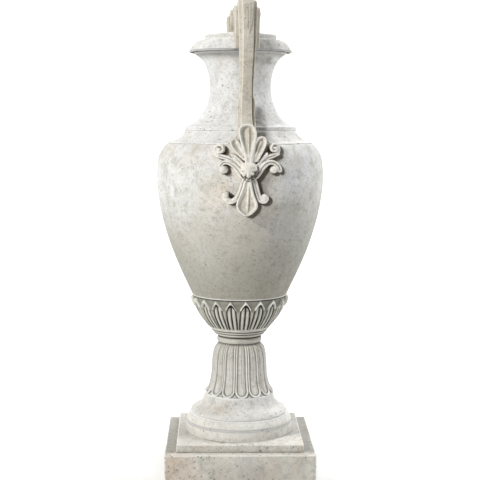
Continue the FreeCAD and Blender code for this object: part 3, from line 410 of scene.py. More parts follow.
def cast_stone(name, light, mid, warm, shade, offset, warm_amount=0.5, zone=None, wash_and_shade=(0.14, 0.125, 0.10), speck=0.5, lift=0.03, rub_and_highlight=0.62, mottled=0.84):
    """Weathered cast stone: blotched colour, warm stains, dark wash and painted shade in hollows and under things,
    rubbed edges with painted highlight, bubbles and grain.
    """
    s = Shader(name)
    broad = s.noise(5.5, 3.0, 0.55, 0.4, offset)
    patch = s.noise(19.0, 5.0, 0.6, 0.6, (offset[0] + 3.1, offset[1], offset[2]))
    fine = s.noise(120.0, 6.0, 0.68, 0.0, offset)
    grit = s.noise(620.0, 3.0, 0.6, 0.0, offset)
    colour = s.mix(s.remap(broad, 0.36, 0.64), mid, light)
    colour = s.mix(s.math("MULTIPLY", s.remap(patch, 0.50, 0.74), warm_amount), colour, warm)
    if zone is not None:
        for stops, tint in zone(s):
            colour = s.mix(stops, colour, tint)
    # cloudy soiling and light scuffs
    colour = s.mix(s.math("MULTIPLY", s.remap(s.noise(42.0, 5.0, 0.62, 0.3, (offset[0], offset[1] + 5.0, offset[2])), 0.46, 0.72), 0.46), colour, shade)
    colour = s.mix(s.math("MULTIPLY", s.remap(fine, 0.52, 0.72), 0.75), colour, (1.13, 1.13, 1.12), "MULTIPLY")
    colour = s.mix(s.math("MULTIPLY", s.remap(fine, 0.32, 0.49, 1.0, 0.0), 0.70), colour, (0.74, 0.73, 0.70), "MULTIPLY")
    colour = s.mix(s.math("MULTIPLY", s.remap(grit, 0.34, 0.48, 1.0, 0.0), 0.75), colour, (0.66, 0.65, 0.62), "MULTIPLY")
    mottle = s.noise(70.0, 4.0, 0.65, 0.8, (offset[0], offset[1], offset[2] + 9.0))
    colour = s.mix(s.remap(mottle, 0.54, 0.68), colour, (mottled, mottled - 0.01, mottled - 0.035), "MULTIPLY")
    # bubbles: small round dark holes in loose patches
    cells = s.voronoi(150.0, offset)
    cell_id = s.voronoi(150.0, offset, out="Color")
    pick = s.math("GREATER_THAN", cell_id, 0.62)
    hole = s.math("MULTIPLY", s.remap(cells, 0.08, 0.22, 1.0, 0.0), pick)
    hole = s.math("MULTIPLY", hole, s.remap(patch, 0.42, 0.60))
    cells2 = s.voronoi(330.0, (offset[0] + 1.7, offset[1], offset[2]))
    id2 = s.voronoi(330.0, (offset[0] + 1.7, offset[1], offset[2]), out="Color")
    hole2 = s.math("MULTIPLY", s.remap(cells2, 0.11, 0.31, 1.0, 0.0), s.math("GREATER_THAN", id2, 0.62))
    hole2 = s.math("MULTIPLY", hole2, s.remap(broad, 0.38, 0.58))
    holes = s.math("MAXIMUM", hole, s.math("MULTIPLY", hole2, 0.85))
    colour = s.mix(s.math("MULTIPLY", holes, speck), colour, tuple(c * 0.36 for c in shade))
    # hollows and sheltered spots take the dark colour, partly real wash and partly painted shade and painted shadow;
    # edges are rubbed pale, partly real wear and partly painted highlight
    cav = s.attribute("cav")
    cav = s.math("MULTIPLY", cav, s.remap(fine, 0.25, 0.62, 0.62, 1.0))
    colour = s.mix(s.remap(cav, 0.06, 0.85, 0.0, 0.94), colour, wash_and_shade)
    colour = s.mix(s.math("MULTIPLY", s.attribute("wear_and_highlight"), rub_and_highlight), colour, tuple(min(0.92, c * 1.18 + lift * 0.55) for c in light))
    colour = s.mix(s.remap(s.attribute("pit"), 0.15, 0.85, 0.0, 0.68), colour, tuple(c * 0.40 for c in shade))
    s.link(colour, s.b.inputs["Base Color"])
    s.link(s.remap(fine, 0.3, 0.7, 0.78, 0.95), s.b.inputs["Roughness"])
    s.b.inputs["Specular IOR Level"].default_value = 0.21
    n = s.bump(fine, 0.40, 0.0011)
    n = s.bump(grit, 0.42, 0.00035, n)
    n = s.bump(s.math("MULTIPLY", holes, -1.0), 0.9, 0.0012, n)
    s.link(n, s.b.inputs["Normal"])
    return s.m


def height_zone(lo, hi, invert=False):
    """0..1 by height on the object, in metres."""
    def f(s, extra=0.0):
        wob = s.noise(9.0, 3.0, 0.6, 0.3, (4.0, 2.0, 1.0))
        z = s.math("ADD", s.axis(2), s.math("MULTIPLY", s.math("SUBTRACT", wob, 0.5), 0.12))
        return s.remap(z, lo, hi, 1.0 if invert else 0.0, 0.0 if invert else 1.0)
    return f


def vessel_zones(s):
    """The body is stained warm round its ornaments and grows darker and olive-grey towards its foot, partly its own
    tone and partly painted shade on the bowl that faces down.
    """
    low = height_zone(0.36, 0.63, True)(s)
    yield s.math("MULTIPLY", low, 0.88), (0.325, 0.31, 0.255)
    x = s.math("MULTIPLY", s.math("ABSOLUTE", s.axis(0)), 1.0)
    near = s.remap(x, 0.0, 0.11, 1.0, 0.0)
    mid = s.math("MULTIPLY", s.math("MULTIPLY", near, height_zone(0.46, 0.60)(s)), height_zone(0.66, 0.78, True)(s))
    cloud = s.remap(s.noise(14.0, 4.0, 0.6, 0.5, (7.0, 0.0, 0.0)), 0.38, 0.62)
    yield s.math("MULTIPLY", s.math("MULTIPLY", mid, cloud), 0.72), (0.73, 0.62, 0.48)
    # painted shade: the body's right side, below its widest part, is darker
    right = s.math("MULTIPLY", s.remap(s.axis(0), 0.02, 0.10, 0.0, 1.0), height_zone(0.50, 0.61, True)(s))
    yield s.math("MULTIPLY", right, 0.26), (0.26, 0.25, 0.22)


def neck_zones(s):
    """Painted shade: the neck's left side is a little greyer than its front."""
    left = s.math("MULTIPLY", s.remap(s.axis(0), -0.015, -0.055, 0.0, 1.0), s.remap(s.axis(2), 0.735, 0.775, 0.0, 1.0))
    yield s.math("MULTIPLY", left, 0.30), (0.46, 0.46, 0.45)


def stem_zones(s):
    # painted shade: the stem's left side is a little darker
    left = s.remap(s.axis(0), -0.012, -0.05, 0.0, 1.0)
    yield s.math("MULTIPLY", left, 0.24), (0.27, 0.26, 0.24)


def step_zones(s):
    """Painted shade lies at the sides and back of the step's top."""
    side = s.math("MULTIPLY", s.remap(s.math("ABSOLUTE", s.axis(0)), 0.086, 0.108, 0.0, 1.0), s.remap(s.axis(1), -0.10, -0.04, 0.0, 1.0))
    top = s.remap(s.axis(2), 0.0728, 0.0745, 0.0, 1.0)
    yield s.math("MULTIPLY", s.math("MULTIPLY", side, top), 0.62), (0.36, 0.355, 0.34)


def plinth_zones(s):
    side = s.remap(s.axis(0), -0.13, 0.03, 1.0, 0.0)
    cloud = s.remap(s.noise(16.0, 4.0, 0.6, 0.5, (2.0, 8.0, 0.0)), 0.35, 0.62)
    yield s.math("MULTIPLY", s.math("MULTIPLY", side, cloud), 0.62), (0.62, 0.50, 0.40)
    yield s.math("MULTIPLY", s.remap(s.noise(11.0, 4.0, 0.6, 0.5, (0.0, 3.0, 6.0)), 0.45, 0.66), 0.5), (0.46, 0.45, 0.43)
    # painted shade: the right side of the plinth is a little darker
    yield s.math("MULTIPLY", s.remap(s.axis(0), -0.03, 0.10, 0.0, 1.0), 0.12), (0.40, 0.39, 0.36)
    # painted shade on the plinth's top round the step, fading out towards the front edge
    ledge = s.math("MULTIPLY", s.remap(s.axis(2), 0.0575, 0.0592, 0.0, 1.0), s.remap(s.axis(1), -0.142, -0.115, 0.0, 1.0))
    yield s.math("MULTIPLY", ledge, 0.82), (0.32, 0.315, 0.295)


M_VESSEL = cast_stone("stone_vessel", (0.838, 0.84, 0.832), (0.69, 0.67, 0.615), (0.62, 0.54, 0.43), (0.46, 0.43, 0.365),
                      (0.0, 0.0, 0.0), 0.35, vessel_zones, wash_and_shade=(0.105, 0.088, 0.064), speck=0.75)
# a paler copy of the vessel stone for the neck and shoulder ring: its extra brightness is painted light
M_NECK = cast_stone("stone_neck", (0.905, 0.91, 0.915), (0.80, 0.79, 0.765), (0.70, 0.62, 0.51), (0.54, 0.51, 0.45),
                    (6.1, 0.7, 0.3), 0.30, neck_zones, speck=0.8, mottled=0.91)
M_DISC = cast_stone("stone_disc", (0.87, 0.86, 0.825), (0.80, 0.78, 0.73), (0.78, 0.68, 0.57), (0.56, 0.53, 0.47),
                    (2.9, 0.3, 0.6), 0.6, None, speck=0.55)
M_STEP = cast_stone("stone_step", (0.79, 0.77, 0.72), (0.675, 0.65, 0.595), (0.67, 0.565, 0.465), (0.45, 0.43, 0.38),
                    (3.8, 0.5, 0.2), 0.65, step_zones, speck=0.6)
M_CARVED = cast_stone("stone_carved", (0.62, 0.605, 0.55), (0.47, 0.455, 0.39), (0.62, 0.55, 0.44), (0.40, 0.38, 0.31),
                      (1.3, 0.4, 0.2), 0.35, None, wash_and_shade=(0.040, 0.034, 0.025), speck=0.45)
# the cup's high lift paints near-white highlight on its lips and rim bead, along with their wear
M_CUP = cast_stone("stone_cup", (0.50, 0.485, 0.43), (0.34, 0.325, 0.275), (0.45, 0.38, 0.305), (0.27, 0.255, 0.205),
                   (1.9, 0.6, 0.4), 0.45, None, wash_and_shade=(0.024, 0.021, 0.015), speck=0.45, lift=0.62, rub_and_highlight=0.88)
M_STEM = cast_stone("stone_stem", (0.75, 0.735, 0.69), (0.63, 0.605, 0.545), (0.64, 0.56, 0.46), (0.47, 0.45, 0.39),
                    (2.1, 0.2, 0.9), 0.45, stem_zones, wash_and_shade=(0.055, 0.048, 0.036), speck=0.40, lift=0.14, rub_and_highlight=0.80, mottled=0.80)
M_FOOT = cast_stone("stone_foot", (0.80, 0.79, 0.765), (0.71, 0.695, 0.65), (0.66, 0.57, 0.46), (0.46, 0.44, 0.39),
                    (2.3, 0.9, 0.1), 0.55, None, speck=0.55)
M_PLINTH = cast_stone("stone_plinth", (0.76, 0.74, 0.685), (0.65, 0.625, 0.565), (0.62, 0.51, 0.41), (0.38, 0.365, 0.32),
                      (3.3, 0.2, 0.7), 0.65, plinth_zones, speck=0.75)
M_HANDLE = cast_stone("stone_handles", (0.72, 0.69, 0.615), (0.61, 0.565, 0.48), (0.64, 0.56, 0.45), (0.45, 0.415, 0.34),
                      (4.3, 1.2, 0.5), 0.45, None, wash_and_shade=(0.10, 0.085, 0.065), speck=0.5)
M_PALM = cast_stone("stone_palmette", (0.90, 0.865, 0.79), (0.82, 0.775, 0.68), (0.68, 0.60, 0.48), (0.48, 0.44, 0.36),
                    (5.3, 0.2, 0.9), 0.40, None, wash_and_shade=(0.055, 0.043, 0.030), speck=0.35)


def steel(name, base, rough, streak):
    """Metal that shows drawn streaks, dull blotches and fine scratches."""
    s = Shader(name)
    run = s.noise(90.0, 5.0, 0.6, 0.0, (0, 0, 0), streak)
    cloud = s.noise(28.0, 4.0, 0.6, 0.4, (1, 2, 3))
    scratch = s.noise(700.0, 2.0, 0.5, 0.0, (0, 0, 0), streak)
    c = s.mix(s.remap(cloud, 0.35, 0.7), base, tuple(k * 0.62 for k in base))
    c = s.mix(s.math("MULTIPLY", s.remap(run, 0.4, 0.7), 0.4), c, tuple(min(1, k * 1.3) for k in base))
    c = s.mix(s.math("MULTIPLY", s.remap(s.noise(60.0, 5.0, 0.65, 0.5, (5, 1, 2)), 0.60, 0.74), 0.5), c, (0.23, 0.15, 0.09))
    s.link(c, s.b.inputs["Base Color"])
    s.b.inputs["Metallic"].default_value = 0.92
    s.link(s.remap(run, 0.3, 0.7, rough - 0.08, rough + 0.16), s.b.inputs["Roughness"])
    n = s.bump(run, 0.25, 0.0003)
    s.link(s.bump(scratch, 0.2, 0.0001, n), s.b.inputs["Normal"])
    return s.m


M_ZINC = steel("zinc_steel", (0.60, 0.60, 0.58), 0.42, (1, 1, 0.08))
M_DOWEL = steel("dowel_steel", (0.55, 0.55, 0.56), 0.34, (1, 1, 0.15))


def finish_piece(obj, material, replaces):
    obj.data.materials.clear()
    obj.data.materials.append(material)
    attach(obj, "root")
    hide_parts(*replaces)
    return obj


# ------------------------------------------------------------------ plinth
def block(name, half, low, high, radius, seed, holes, spacing=3.2):
    """Square slab with eased, chipped arrises. holes: (radius, from, to) cut round the axis."""
    def ticks(a, b):
        edge = np.array([0, 0.7, 1.5, 2.4, 3.6])
        n = max(2, int((b - a - 8) / spacing))
        mid = np.linspace(a + 5, b - 5, n)
        return np.concatenate([a + edge, mid, (b - edge)[::-1]])
    xs, zs = ticks(-half, half), ticks(low, high)
    bm = bmesh.new()
    index = {}

    def vert(x, y, z):
        key = (round(x, 3), round(y, 3), round(z, 3))
        if key not in index:
            index[key] = bm.verts.new((x, y, z))
        return index[key]
    for s in (-1, 1):
        for us, vs, f in ((xs, xs, lambda u, v: (u, v, high if s > 0 else low)),
                          (xs, zs, lambda u, v: (u, s * half, v)), (xs, zs, lambda u, v: (s * half, u, v))):
            for i in range(len(us) - 1):
                for j in range(len(vs) - 1):
                    q = [vert(*f(us[i], vs[j])), vert(*f(us[i + 1], vs[j])), vert(*f(us[i + 1], vs[j + 1])), vert(*f(us[i], vs[j + 1]))]
                    bm.faces.new(q)
    bmesh.ops.recalc_face_normals(bm, faces=bm.faces)
    co = np.array([v.co[:] for v in bm.verts])
    faces = np.array([[v.index for v in f.verts] for f in (bm.verts.index_update(), bm.faces)[1]])
    bm.free()
    # ease the arrises
    r = radius * (1 + 0.5 * noise(co, 26.0, seed + 5))
    chips = np.clip(noise(co, 9.0, seed + 6) + 0.6 * noise(co, 4.0, seed + 7) - 0.55, 0, 1)
    r = np.clip(r + 5.0 * chips, 0.6, 3.4)[:, None]
    lo, hi = np.array([-half, -half, low]), np.array([half, half, high])
    inner = np.clip(co, lo + r, hi - r)
    d = co - inner
    ln = np.linalg.norm(d, axis=1, keepdims=True)
    edge = (np.abs(d) > 1e-6).sum(1)
    unit = np.where(ln > 1e-9, d / np.maximum(ln, 1e-9), 0)
    P = np.where(ln > 1e-9, inner + unit * r, co)
    # the arrises are marked for rubbed wear, which the stone's colour also lifts as painted highlight
    wear_and_highlight = ((np.minimum(np.minimum(half - np.abs(co[:, 0]), half - np.abs(co[:, 1])), 99) < 2.2).astype(float)
            * ((np.abs(co[:, 2] - high) < 2.2) | (np.abs(co[:, 2] - low) < 2.2)
               | ((half - np.abs(co[:, 0]) < 2.2) & (half - np.abs(co[:, 1]) < 2.2))))
    keep = (co[:, 2] > low + 0.01)
    P2, dark = weather(P, unit, seed, 0.22, 0.10, 620, (1.3, 3.0), 0.5, keep=keep & (ln[:, 0] > 1e-9))
    P2[:, 2] = np.where(co[:, 2] <= low + 0.01, np.maximum(P2[:, 2], low), P2[:, 2])
    P2[~keep] = P[~keep]
    obj = make_mesh(name, P2, faces, {"cav": np.zeros(len(P2)), "wear_and_highlight": wear_and_highlight * 0.8, "pit": dark})
    fix_normals(obj)
    for k, (rad, a, b) in enumerate(holes):
        cut = bpy.data.meshes.new("cut")
        cb = bmesh.new()
        bmesh.ops.create_cone(cb, cap_ends=True, segments=64, radius1=rad * MM, radius2=rad * MM, depth=(b - a) * MM,
                              matrix=Matrix.Translation((0, 0, (a + b) / 2 * MM)))
        cb.to_mesh(cut)
        cb.free()
        tool = bpy.data.objects.new("cut", cut)
        bpy.context.scene.collection.objects.link(tool)
        mod = obj.modifiers.new("hole", "BOOLEAN")
        mod.operation = "DIFFERENCE"
        mod.object = tool
        mod.solver = "EXACT"
        dg = bpy.context.evaluated_depsgraph_get()
        new = bpy.data.meshes.new_from_object(obj.evaluated_get(dg))
        obj.modifiers.clear()
        old = obj.data
        obj.data = new
        bpy.data.meshes.remove(old)
        bpy.data.objects.remove(tool)
        bpy.data.meshes.remove(cut)
    obj.data.name = name
    return obj


plinth = block("plinth_block_stone", 151.2, 0.0, 60.0, 1.7, 11, [(34.0, -5.0, 34.0), (9.0, 20.0, 70.0)])
finish_piece(plinth, M_PLINTH, ["plinth_block"])
step = block("plinth_step_stone", 127.9, 60.0, 75.2, 1.5, 12, [(9.0, 50.0, 68.0), (14.0, 66.2, 90.0)])
finish_piece(step, M_STEP, ["plinth_step"])

# ------------------------------------------------------------------ foot
disc = revolve("foot_disc_stone",
               np.vstack([[[60, 75.2]], [[110.6, 75.2]], [[111, 76.4]], [[111, 95.6]], [[110.4, 97.0]],
                          arc((110.2, 97.2), (103.0, 112.0), 24.0, -1, 12), [[101.4, 115.2]], [[92, 115.5]]]),
               [(92, 115.5), (14, 115.5), (14, 106.5), (9, 106.5), (9, 84.2), (14, 84.2), (14, 75.2), (60, 75.2)],
               420, 1.7, 21, pits=130, edge_round=0.9, chip=0.35)
finish_piece(disc, M_DISC, ["foot_disc"])

BELL_Z = [115.7, 117.4, 120.0, 122.6, 124.8, 126.8, 129.2, 132.4, 136.4, 141.0, 146.0, 151.0, 155.6]
BELL_R = [100.4, 101.2, 100.8, 99.0, 96.2, 92.6, 87.4, 82.2, 77.9, 75.2, 73.8, 73.0, 72.6]
zs = np.linspace(115.7, 155.6, 60)
bell = revolve("foot_bell_stone",
               np.vstack([[[85, 115.5]], [[98, 115.5]], np.stack([pchip(BELL_Z, BELL_R, zs), zs], 1), [[71.6, 156]], [[66, 156]]]),
               [(66, 156), (14, 156), (14, 147), (9, 147), (9, 124.5), (14, 124.5), (14, 115.5), (85, 115.5)],
               420, 1.5, 22, pits=80, edge_round=0.9, chip=0.25)
finish_piece(bell, M_FOOT, ["foot_bell"])

# ------------------------------------------------------------------ leaf stem
STEM_Z = [150, 154, 158, 162, 166, 170, 174, 182, 190, 202, 214, 226, 234, 242, 246, 250, 254, 258, 261, 262]
STEM_R = [72.0, 71.6, 69.6, 66.4, 63.8, 62.0, 60.8, 59.0, 57.6, 56.2, 55.6, 54.9, 54.0, 52.8, 51.8, 50.4, 48.4, 45.6, 42.4, 40.5]
STEM_LEAVES = 14


def stem_relief(theta, R, Z, s):
    """Upright leaves with rolled edges and a soft midrib between two grooves, and smaller leaf tips between them."""
    cell = 2 * math.pi / STEM_LEAVES
    a = np.abs(((theta - TURN) / cell + 0.5) % 1.0 - 0.5) * 2           # 0 mid-leaf .. 1 between leaves
    hw = R * math.pi / STEM_LEAVES
    tip, b = 154.6, 15.0
    q = np.sqrt(a ** 2 + (np.clip((tip + b - Z) / b, 0, 3)) ** 2)
    d = np.where(Z > tip + b, (1 - a) * hw, (1 - q) * hw)
    inside = smooth(-0.4, 0.9, d)
    near_tip = smooth(182.0, 160.0, Z)
    bead = (1.75 + 0.9 * near_tip) * bump(d - 2.1, 1.55)
    groove = -1.25 * bump(d - 4.9, 1.15)
    core = np.where(Z > tip + b, 1.0, smooth(5.0, 8.5, np.minimum(d, 9)))
    middle = 1.25 * bump(a * hw, 3.6) * core
    crease = -0.75 * bump(a * hw - 0.3, 0.75) * core * smooth(172, 190, Z)
    leaf = 0.5 + bead + groove + middle + crease
    # smaller tips behind, in the gaps
    a2 = 1 - a
    tip2, b2 = 157.0, 9.0
    q2 = np.sqrt((a2 / 0.62) ** 2 + np.clip((tip2 + b2 - Z) / b2, 0, 3) ** 2)
    d2 = (1 - q2) * hw * 0.62
    small = -1.2 + 1.0 * bump(d2 - 1.0, 0.9) + 0.5 * bump(a2 * hw, 0.8)
    gap = np.where(d2 > -0.3, small, -1.2 - 2.2 * smooth(0.3, 2.0, -d2))
    gap = np.where(Z > tip2 + b2, -1.3, gap)
    h = gap * (1 - inside) + leaf * inside
    top = smooth(262.0, 253.0, Z)
    low = smooth(150.0, 153.0, Z)
    h = h * (0.25 + 0.75 * top) * low
    # painted shade in the grooves, leaf outlines and gaps, and in a band under the knop ring; leaf edges and midribs
    # get painted highlight along with their wear
    cav = np.clip(0.66 * bump(d - 4.9, 1.1) + 0.55 * bump(a * hw - 0.3, 0.8) * core * smooth(172, 190, Z)
                  + 0.95 * bump(d + 0.25, 0.85) + 0.30 * bump(d2 + 0.3, 0.7) * (1 - inside), 0, 1) * (0.30 + 0.70 * top) + 0.8 * smooth(257.5, 261.5, Z)
    wear_and_highlight = np.clip((0.75 + 0.6 * near_tip) * bump(d - 2.1, 1.2) + 0.35 * bump(a * hw, 2.6) * core, 0, 1) * (0.4 + 0.6 * top)
    return h, cav, wear_and_highlight


zs = np.linspace(150, 262, 150)
stem = revolve("leaf_stem_stone", np.stack([pchip(STEM_Z, STEM_R, zs), zs], 1),
               [(30, 262), (9, 262), (9, 165), (14, 165), (14, 156), (14, 150.5)],
               14 * 46, 0.80, 23, relief=stem_relief, edge_round=0.3, undulation=0.22, grain=0.10, pits=70,
               pit_size=(0.9, 1.6), chip=0.0)
finish_piece(stem, M_STEM, ["leaf_stem"])

# ------------------------------------------------------------------ knop rings
TORUS_Z = [262.3, 263.4, 265.2, 268.0, 270.8, 273.2, 275.0, 276.2]
TORUS_R = [42.4, 44.6, 46.1, 47.0, 46.9, 45.8, 44.2, 43.2]
zs = np.linspace(262.3, 276.2, 22)


def hollow_relief(*bands):
    """Painted shade and dark wash in the ring-shaped hollows: (height, width, amount)."""
    def f(theta, R, Z, s):
        cav = sum(amount * bump(Z - z, w) for z, w, amount in bands)
        return np.zeros_like(R), np.clip(cav, 0, 1), np.zeros_like(R)
    return f


torus = revolve("knop_torus_stone", np.vstack([[[30, 262.2]], np.stack([pchip(TORUS_Z, TORUS_R, zs), zs], 1), [[43.0, 278.0]], [[34, 278]]]),
                [(34, 278), (9, 278), (9, 262.2), (30, 262.2)], 300, 1.0, 24, edge_round=0.3, pits=20, pit_size=(0.9, 1.6), chip=0.15,
                undulation=0.15, relief=hollow_relief((262.6, 1.9, 0.95), (277.0, 2.0, 0.9)))
finish_piece(torus, M_CARVED, ["knop_torus"])
fillet = revolve("knop_fillet_stone",
                 [(34, 278), (46.4, 278.1), (49.4, 278.6), (52.0, 279.9), (53.4, 281.6), (53.2, 283.0), (51.8, 283.8), (51.6, 284.6), (55.4, 285.2),
                  (57.4, 286.2), (58.2, 287.6), (57.6, 288.8), (56.4, 289.5), (56.4, 290.2), (59.6, 290.6), (61.8, 291.8), (62.4, 293.2), (61.8, 294), (46, 294)],
                 [(46, 294), (14, 294), (14, 285), (9, 285), (9, 278), (34, 278)], 300, 0.9, 25, edge_round=0.6, pits=20,
                 pit_size=(0.9, 1.5), chip=0.15, undulation=0.15, relief=hollow_relief((284.2, 0.9, 0.95), (289.9, 0.8, 0.85), (278.3, 1.0, 0.6)))
finish_piece(fillet, M_CARVED, ["knop_fillet"])

# ------------------------------------------------------------------ leaf cup
CUP_LEAVES = 20
CUP_Z = [294, 296, 300, 308, 316, 322, 329, 336, 341, 346, 350, 354, 358, 361.5, 363.0, 364.8]
CUP_R = [61.8, 63.6, 66.9, 73.7, 79.6, 83.9, 88.2, 91.2, 92.8, 94.2, 95.0, 95.8, 96.4, 96.6, 96.8, 97.6]
CUP_TURN = math.radians(2.3)


def cup_relief(theta, R, Z, s):
    """Calyx of pointed leaves: a hooded lip with a deep shadow under it, two lobes and a groove, a thin dart between."""
    cell = 2 * math.pi / CUP_LEAVES
    u = ((theta - TURN - CUP_TURN) / cell + 0.5) % 1.0 - 0.5
    a = np.abs(u) * 2
    hw = R * math.pi / CUP_LEAVES                                        # half a cell in mm
    t = a / 0.70
    top = 360.6 - 15.0 * np.clip(t, 0, 2) ** 1.10
    under = 354.2 - 14.6 * np.clip(t, 0, 2) ** 1.75
    mid, half = (top + under) / 2, np.maximum((top - under) / 2, 1.4)
    k = np.clip(1 - ((Z - mid) / half) ** 2, 0, 1)
    end = smooth(0.76, 0.64, a)
    lip = np.sqrt(k) * end
    lip_h = (7.4 - 2.4 * t) * lip
    below = smooth(0.4, -0.6, Z - under) * (a < 0.70)
    blade_half = 0.70 + 0.13 * smooth(343, 305, Z)
    am = a / blade_half
    inner = smooth(1.0, 0.93, am)
    lobe = 3.2 * np.sqrt(np.clip(1 - ((am - 0.46) / 0.40) ** 2, 0, 1)) * smooth(under - 2.6, under - 7.0, Z)
    vein = -1.0 * bump(a * hw, 0.9)
    floor = -2.9 * (0.45 + 0.55 * smooth(298, 334, Z))
    deep = -1.6 * bump(Z - (under - 2.2), 2.6)
    blade = floor + lobe * (0.5 + 0.5 * smooth(298, 322, Z)) + vein + deep
    dart = -0.3 + 1.5 * bump((1 - a) * hw, 1.1) * smooth(346, 336, Z)
    under_all = np.where(a < 0.70, under, 343.0 - 20 * (a - 0.70))
    low = smooth(under_all + 0.3, under_all - 1.4, Z)
    h = np.where(lip > 0.02, lip_h, low * (inner * blade + (1 - inner) * dart))
    rim = 1.7 * bump(Z - 363.8, 1.2)
    foot = smooth(294.3, 300.0, Z)
    outline = bump((1 - am) * blade_half * hw - 0.2, 1.15)
    # painted shade under each lip, in the midrib, leaf outlines and blades, in the band and line under the rim bead,
    # and darker towards the foot; lips, rim bead and lobe crests get painted highlight along with their wear
    cav = (low * (1 - np.clip(lip * 3, 0, 1)) * (1.0 * bump(Z - (under - 2.4), 3.0) * (a < 0.62) + 0.95 * bump(a * hw, 1.05) + 0.85 * outline
                  + 0.55 * inner * (1 - smooth(0.2, 0.9, lobe / 3.2)))
           + 0.42 * smooth(362.6, 361.2, Z) * (1 - np.clip(lip * 3, 0, 1)) * (1 - low)
           + 0.75 * bump(Z - 361.6, 0.7) + 0.30 * smooth(340, 298, Z))
    wear_and_highlight = 1.0 * np.clip(lip * 1.6, 0, 1) + 1.0 * smooth(362.4, 363.2, Z) + 0.55 * low * inner * smooth(0.75, 1.0, lobe / 3.2) + 0.35 * low * bump((1 - a) * hw, 0.8)
    return h * foot + rim, np.clip(cav, 0, 1) * foot, np.clip(wear_and_highlight, 0, 1) * foot


zs = np.linspace(294, 364.8, 110)
cup = revolve("leaf_cup_stone", np.vstack([[[40, 294]], np.stack([pchip(CUP_Z, CUP_R, zs), zs], 1)]),
              [(97.0, 364.8), (58, 318), (9, 318), (9, 303), (14, 303), (14, 294), (40, 294)],
              20 * 38, 0.72, 26, relief=cup_relief, edge_round=0.3, undulation=0.18, grain=0.10, pits=60,
              pit_size=(0.9, 1.5), chip=0.0)
finish_piece(cup, M_CUP, ["leaf_cup"])

# ------------------------------------------------------------------ body, shoulder, neck, rim
BODY_Z = [364.8, 376, 390, 404, 418, 432, 446, 460, 474, 488, 502, 516, 530, 544, 558, 572, 586, 600, 612, 624, 636, 646, 655, 662, 668, 672, 676]
BODY_R = [98.4, 103.8, 110.2, 116.8, 123, 129.3, 135.1, 140.6, 145.6, 150.2, 154.4, 158.2, 161.7, 164.7, 167.2, 169.2, 170.6, 171.5, 171.7, 171.2, 170, 168.2, 165.2, 161.2, 157, 153.8, 149.6]


def seam_relief(theta, R, Z, s):
    """A faint casting seam down both sides, and the dusty line where the cup holds the body."""
    side = np.minimum(np.abs(np.sin((theta - TURN - math.pi / 2) / 2)), np.abs(np.sin((theta - TURN + math.pi / 2) / 2))) * 2 * R
    h = 0.35 * bump(side, 1.4)
    cav = 0.22 * smooth(371.0, 366.0, Z)
    return h, cav, 0.25 * bump(side, 1.2)


zs = np.linspace(364.8, 676, 190)
body_profile = np.stack([pchip(BODY_Z, BODY_R, zs), zs], 1)
wall = body_profile[::-1][::8].copy()
wall[:, 0] -= 24.0
body = revolve("body_shell_stone", np.vstack([[[58, 318]], body_profile, [[140, 676]]]),
               np.vstack([[[126, 676]], wall[1:], [[58, 346], [9, 346], [9, 318], [58, 318]]]),
               700, 1.6, 31, relief=seam_relief, pits=800, pit_size=(1.0, 2.1), pit_depth=0.55, edge_round=0.8, chip=0.15, inner_step=14.0,
               undulation=0.32)
finish_piece(body, M_VESSEL, ["body_bowl", "body_drum", "body_top"])

ring = revolve("shoulder_ring_stone",
               np.vstack([[[130, 676]], [[147.8, 676.1]], [[148.3, 677.2]], [[147.0, 678.8]], arc((144.9, 679.3), (115.4, 701.4), 39.0, 1, 26),
                          [[114.8, 702]], [[100, 702]]]),
               [(88, 702), (125.6, 676), (130, 676)], 520, 1.6, 32, pits=260, edge_round=0.8, chip=0.25)
finish_piece(ring, M_NECK, ["shoulder_ring"])

neck_outer = np.vstack([[[100, 702]], [[114.4, 702.1]], [[115.2, 703.0]], [[115.1, 709.6]], [[114.4, 710.5]],
                        arc((113.6, 710.7), (82.4, 730), 48.7, 1, 20), arc((82.4, 730), (62.8, 790), 101.6, 1, 28)[1:],
                        arc((62.8, 790), (71.5, 833), 110.6, 1, 20)[1:], arc((71.5, 833), (94, 857), 47.5, 1, 18)[1:], [[95.0, 859.8]], [[70, 859.8]]])


def neck_relief(theta, R, Z, s):
    """Painted shade under the rim's overhang."""
    return np.zeros_like(R), 0.55 * smooth(836.0, 858.5, Z), np.zeros_like(R)


neck = revolve("neck_stone", neck_outer,
               [(48, 859.8), (46, 846), (44, 833), (44, 790), (46.5, 765), (53, 742), (60, 730), (88, 702), (100, 702)],
               400, 1.7, 33, pits=420, edge_round=0.7, chip=0.2, inner_step=6.0, relief=neck_relief)
finish_piece(neck, M_NECK, ["neck"])


def collar_relief(theta, R, Z, s):
    # painted shade on the underside and lowest edge of the lip
    return np.zeros_like(R), 1.0 * smooth(864.0, 862.2, Z) * smooth(82, 90, R), np.zeros_like(R)


collar = revolve("rim_collar_stone",
                 np.vstack([[[70, 859.8]], [[104.6, 859.8]], [[105.4, 860.6]], [[105.4, 862.2]],
                            arc((105.0, 862.9), (84.4, 884.8), 42.0, -1, 22), [[80, 885]], [[60, 885]]]),
                 [(60, 885), (48, 885), (48, 859.8), (70, 859.8)], 420, 1.5, 34, relief=collar_relief, pits=170, edge_round=0.7, chip=0.3,
                 inner_step=5.0)
finish_piece(collar, M_VESSEL, ["rim_collar"])
mouth = revolve("mouth_ring_stone",
                [(60, 885), (72.6, 885), (73.1, 885.6), (73.1, 894.2), (72.4, 895.8), (71, 896.2), (51, 896.2), (49.4, 895.6), (48.2, 894.0), (48, 891)],
                [(48, 888), (48, 885), (60, 885)], 360, 1.4, 35, pits=70, edge_round=0.9, chip=0.3, pit_size=(1.0, 2.0))
finish_piece(mouth, M_VESSEL, ["mouth_ring"])


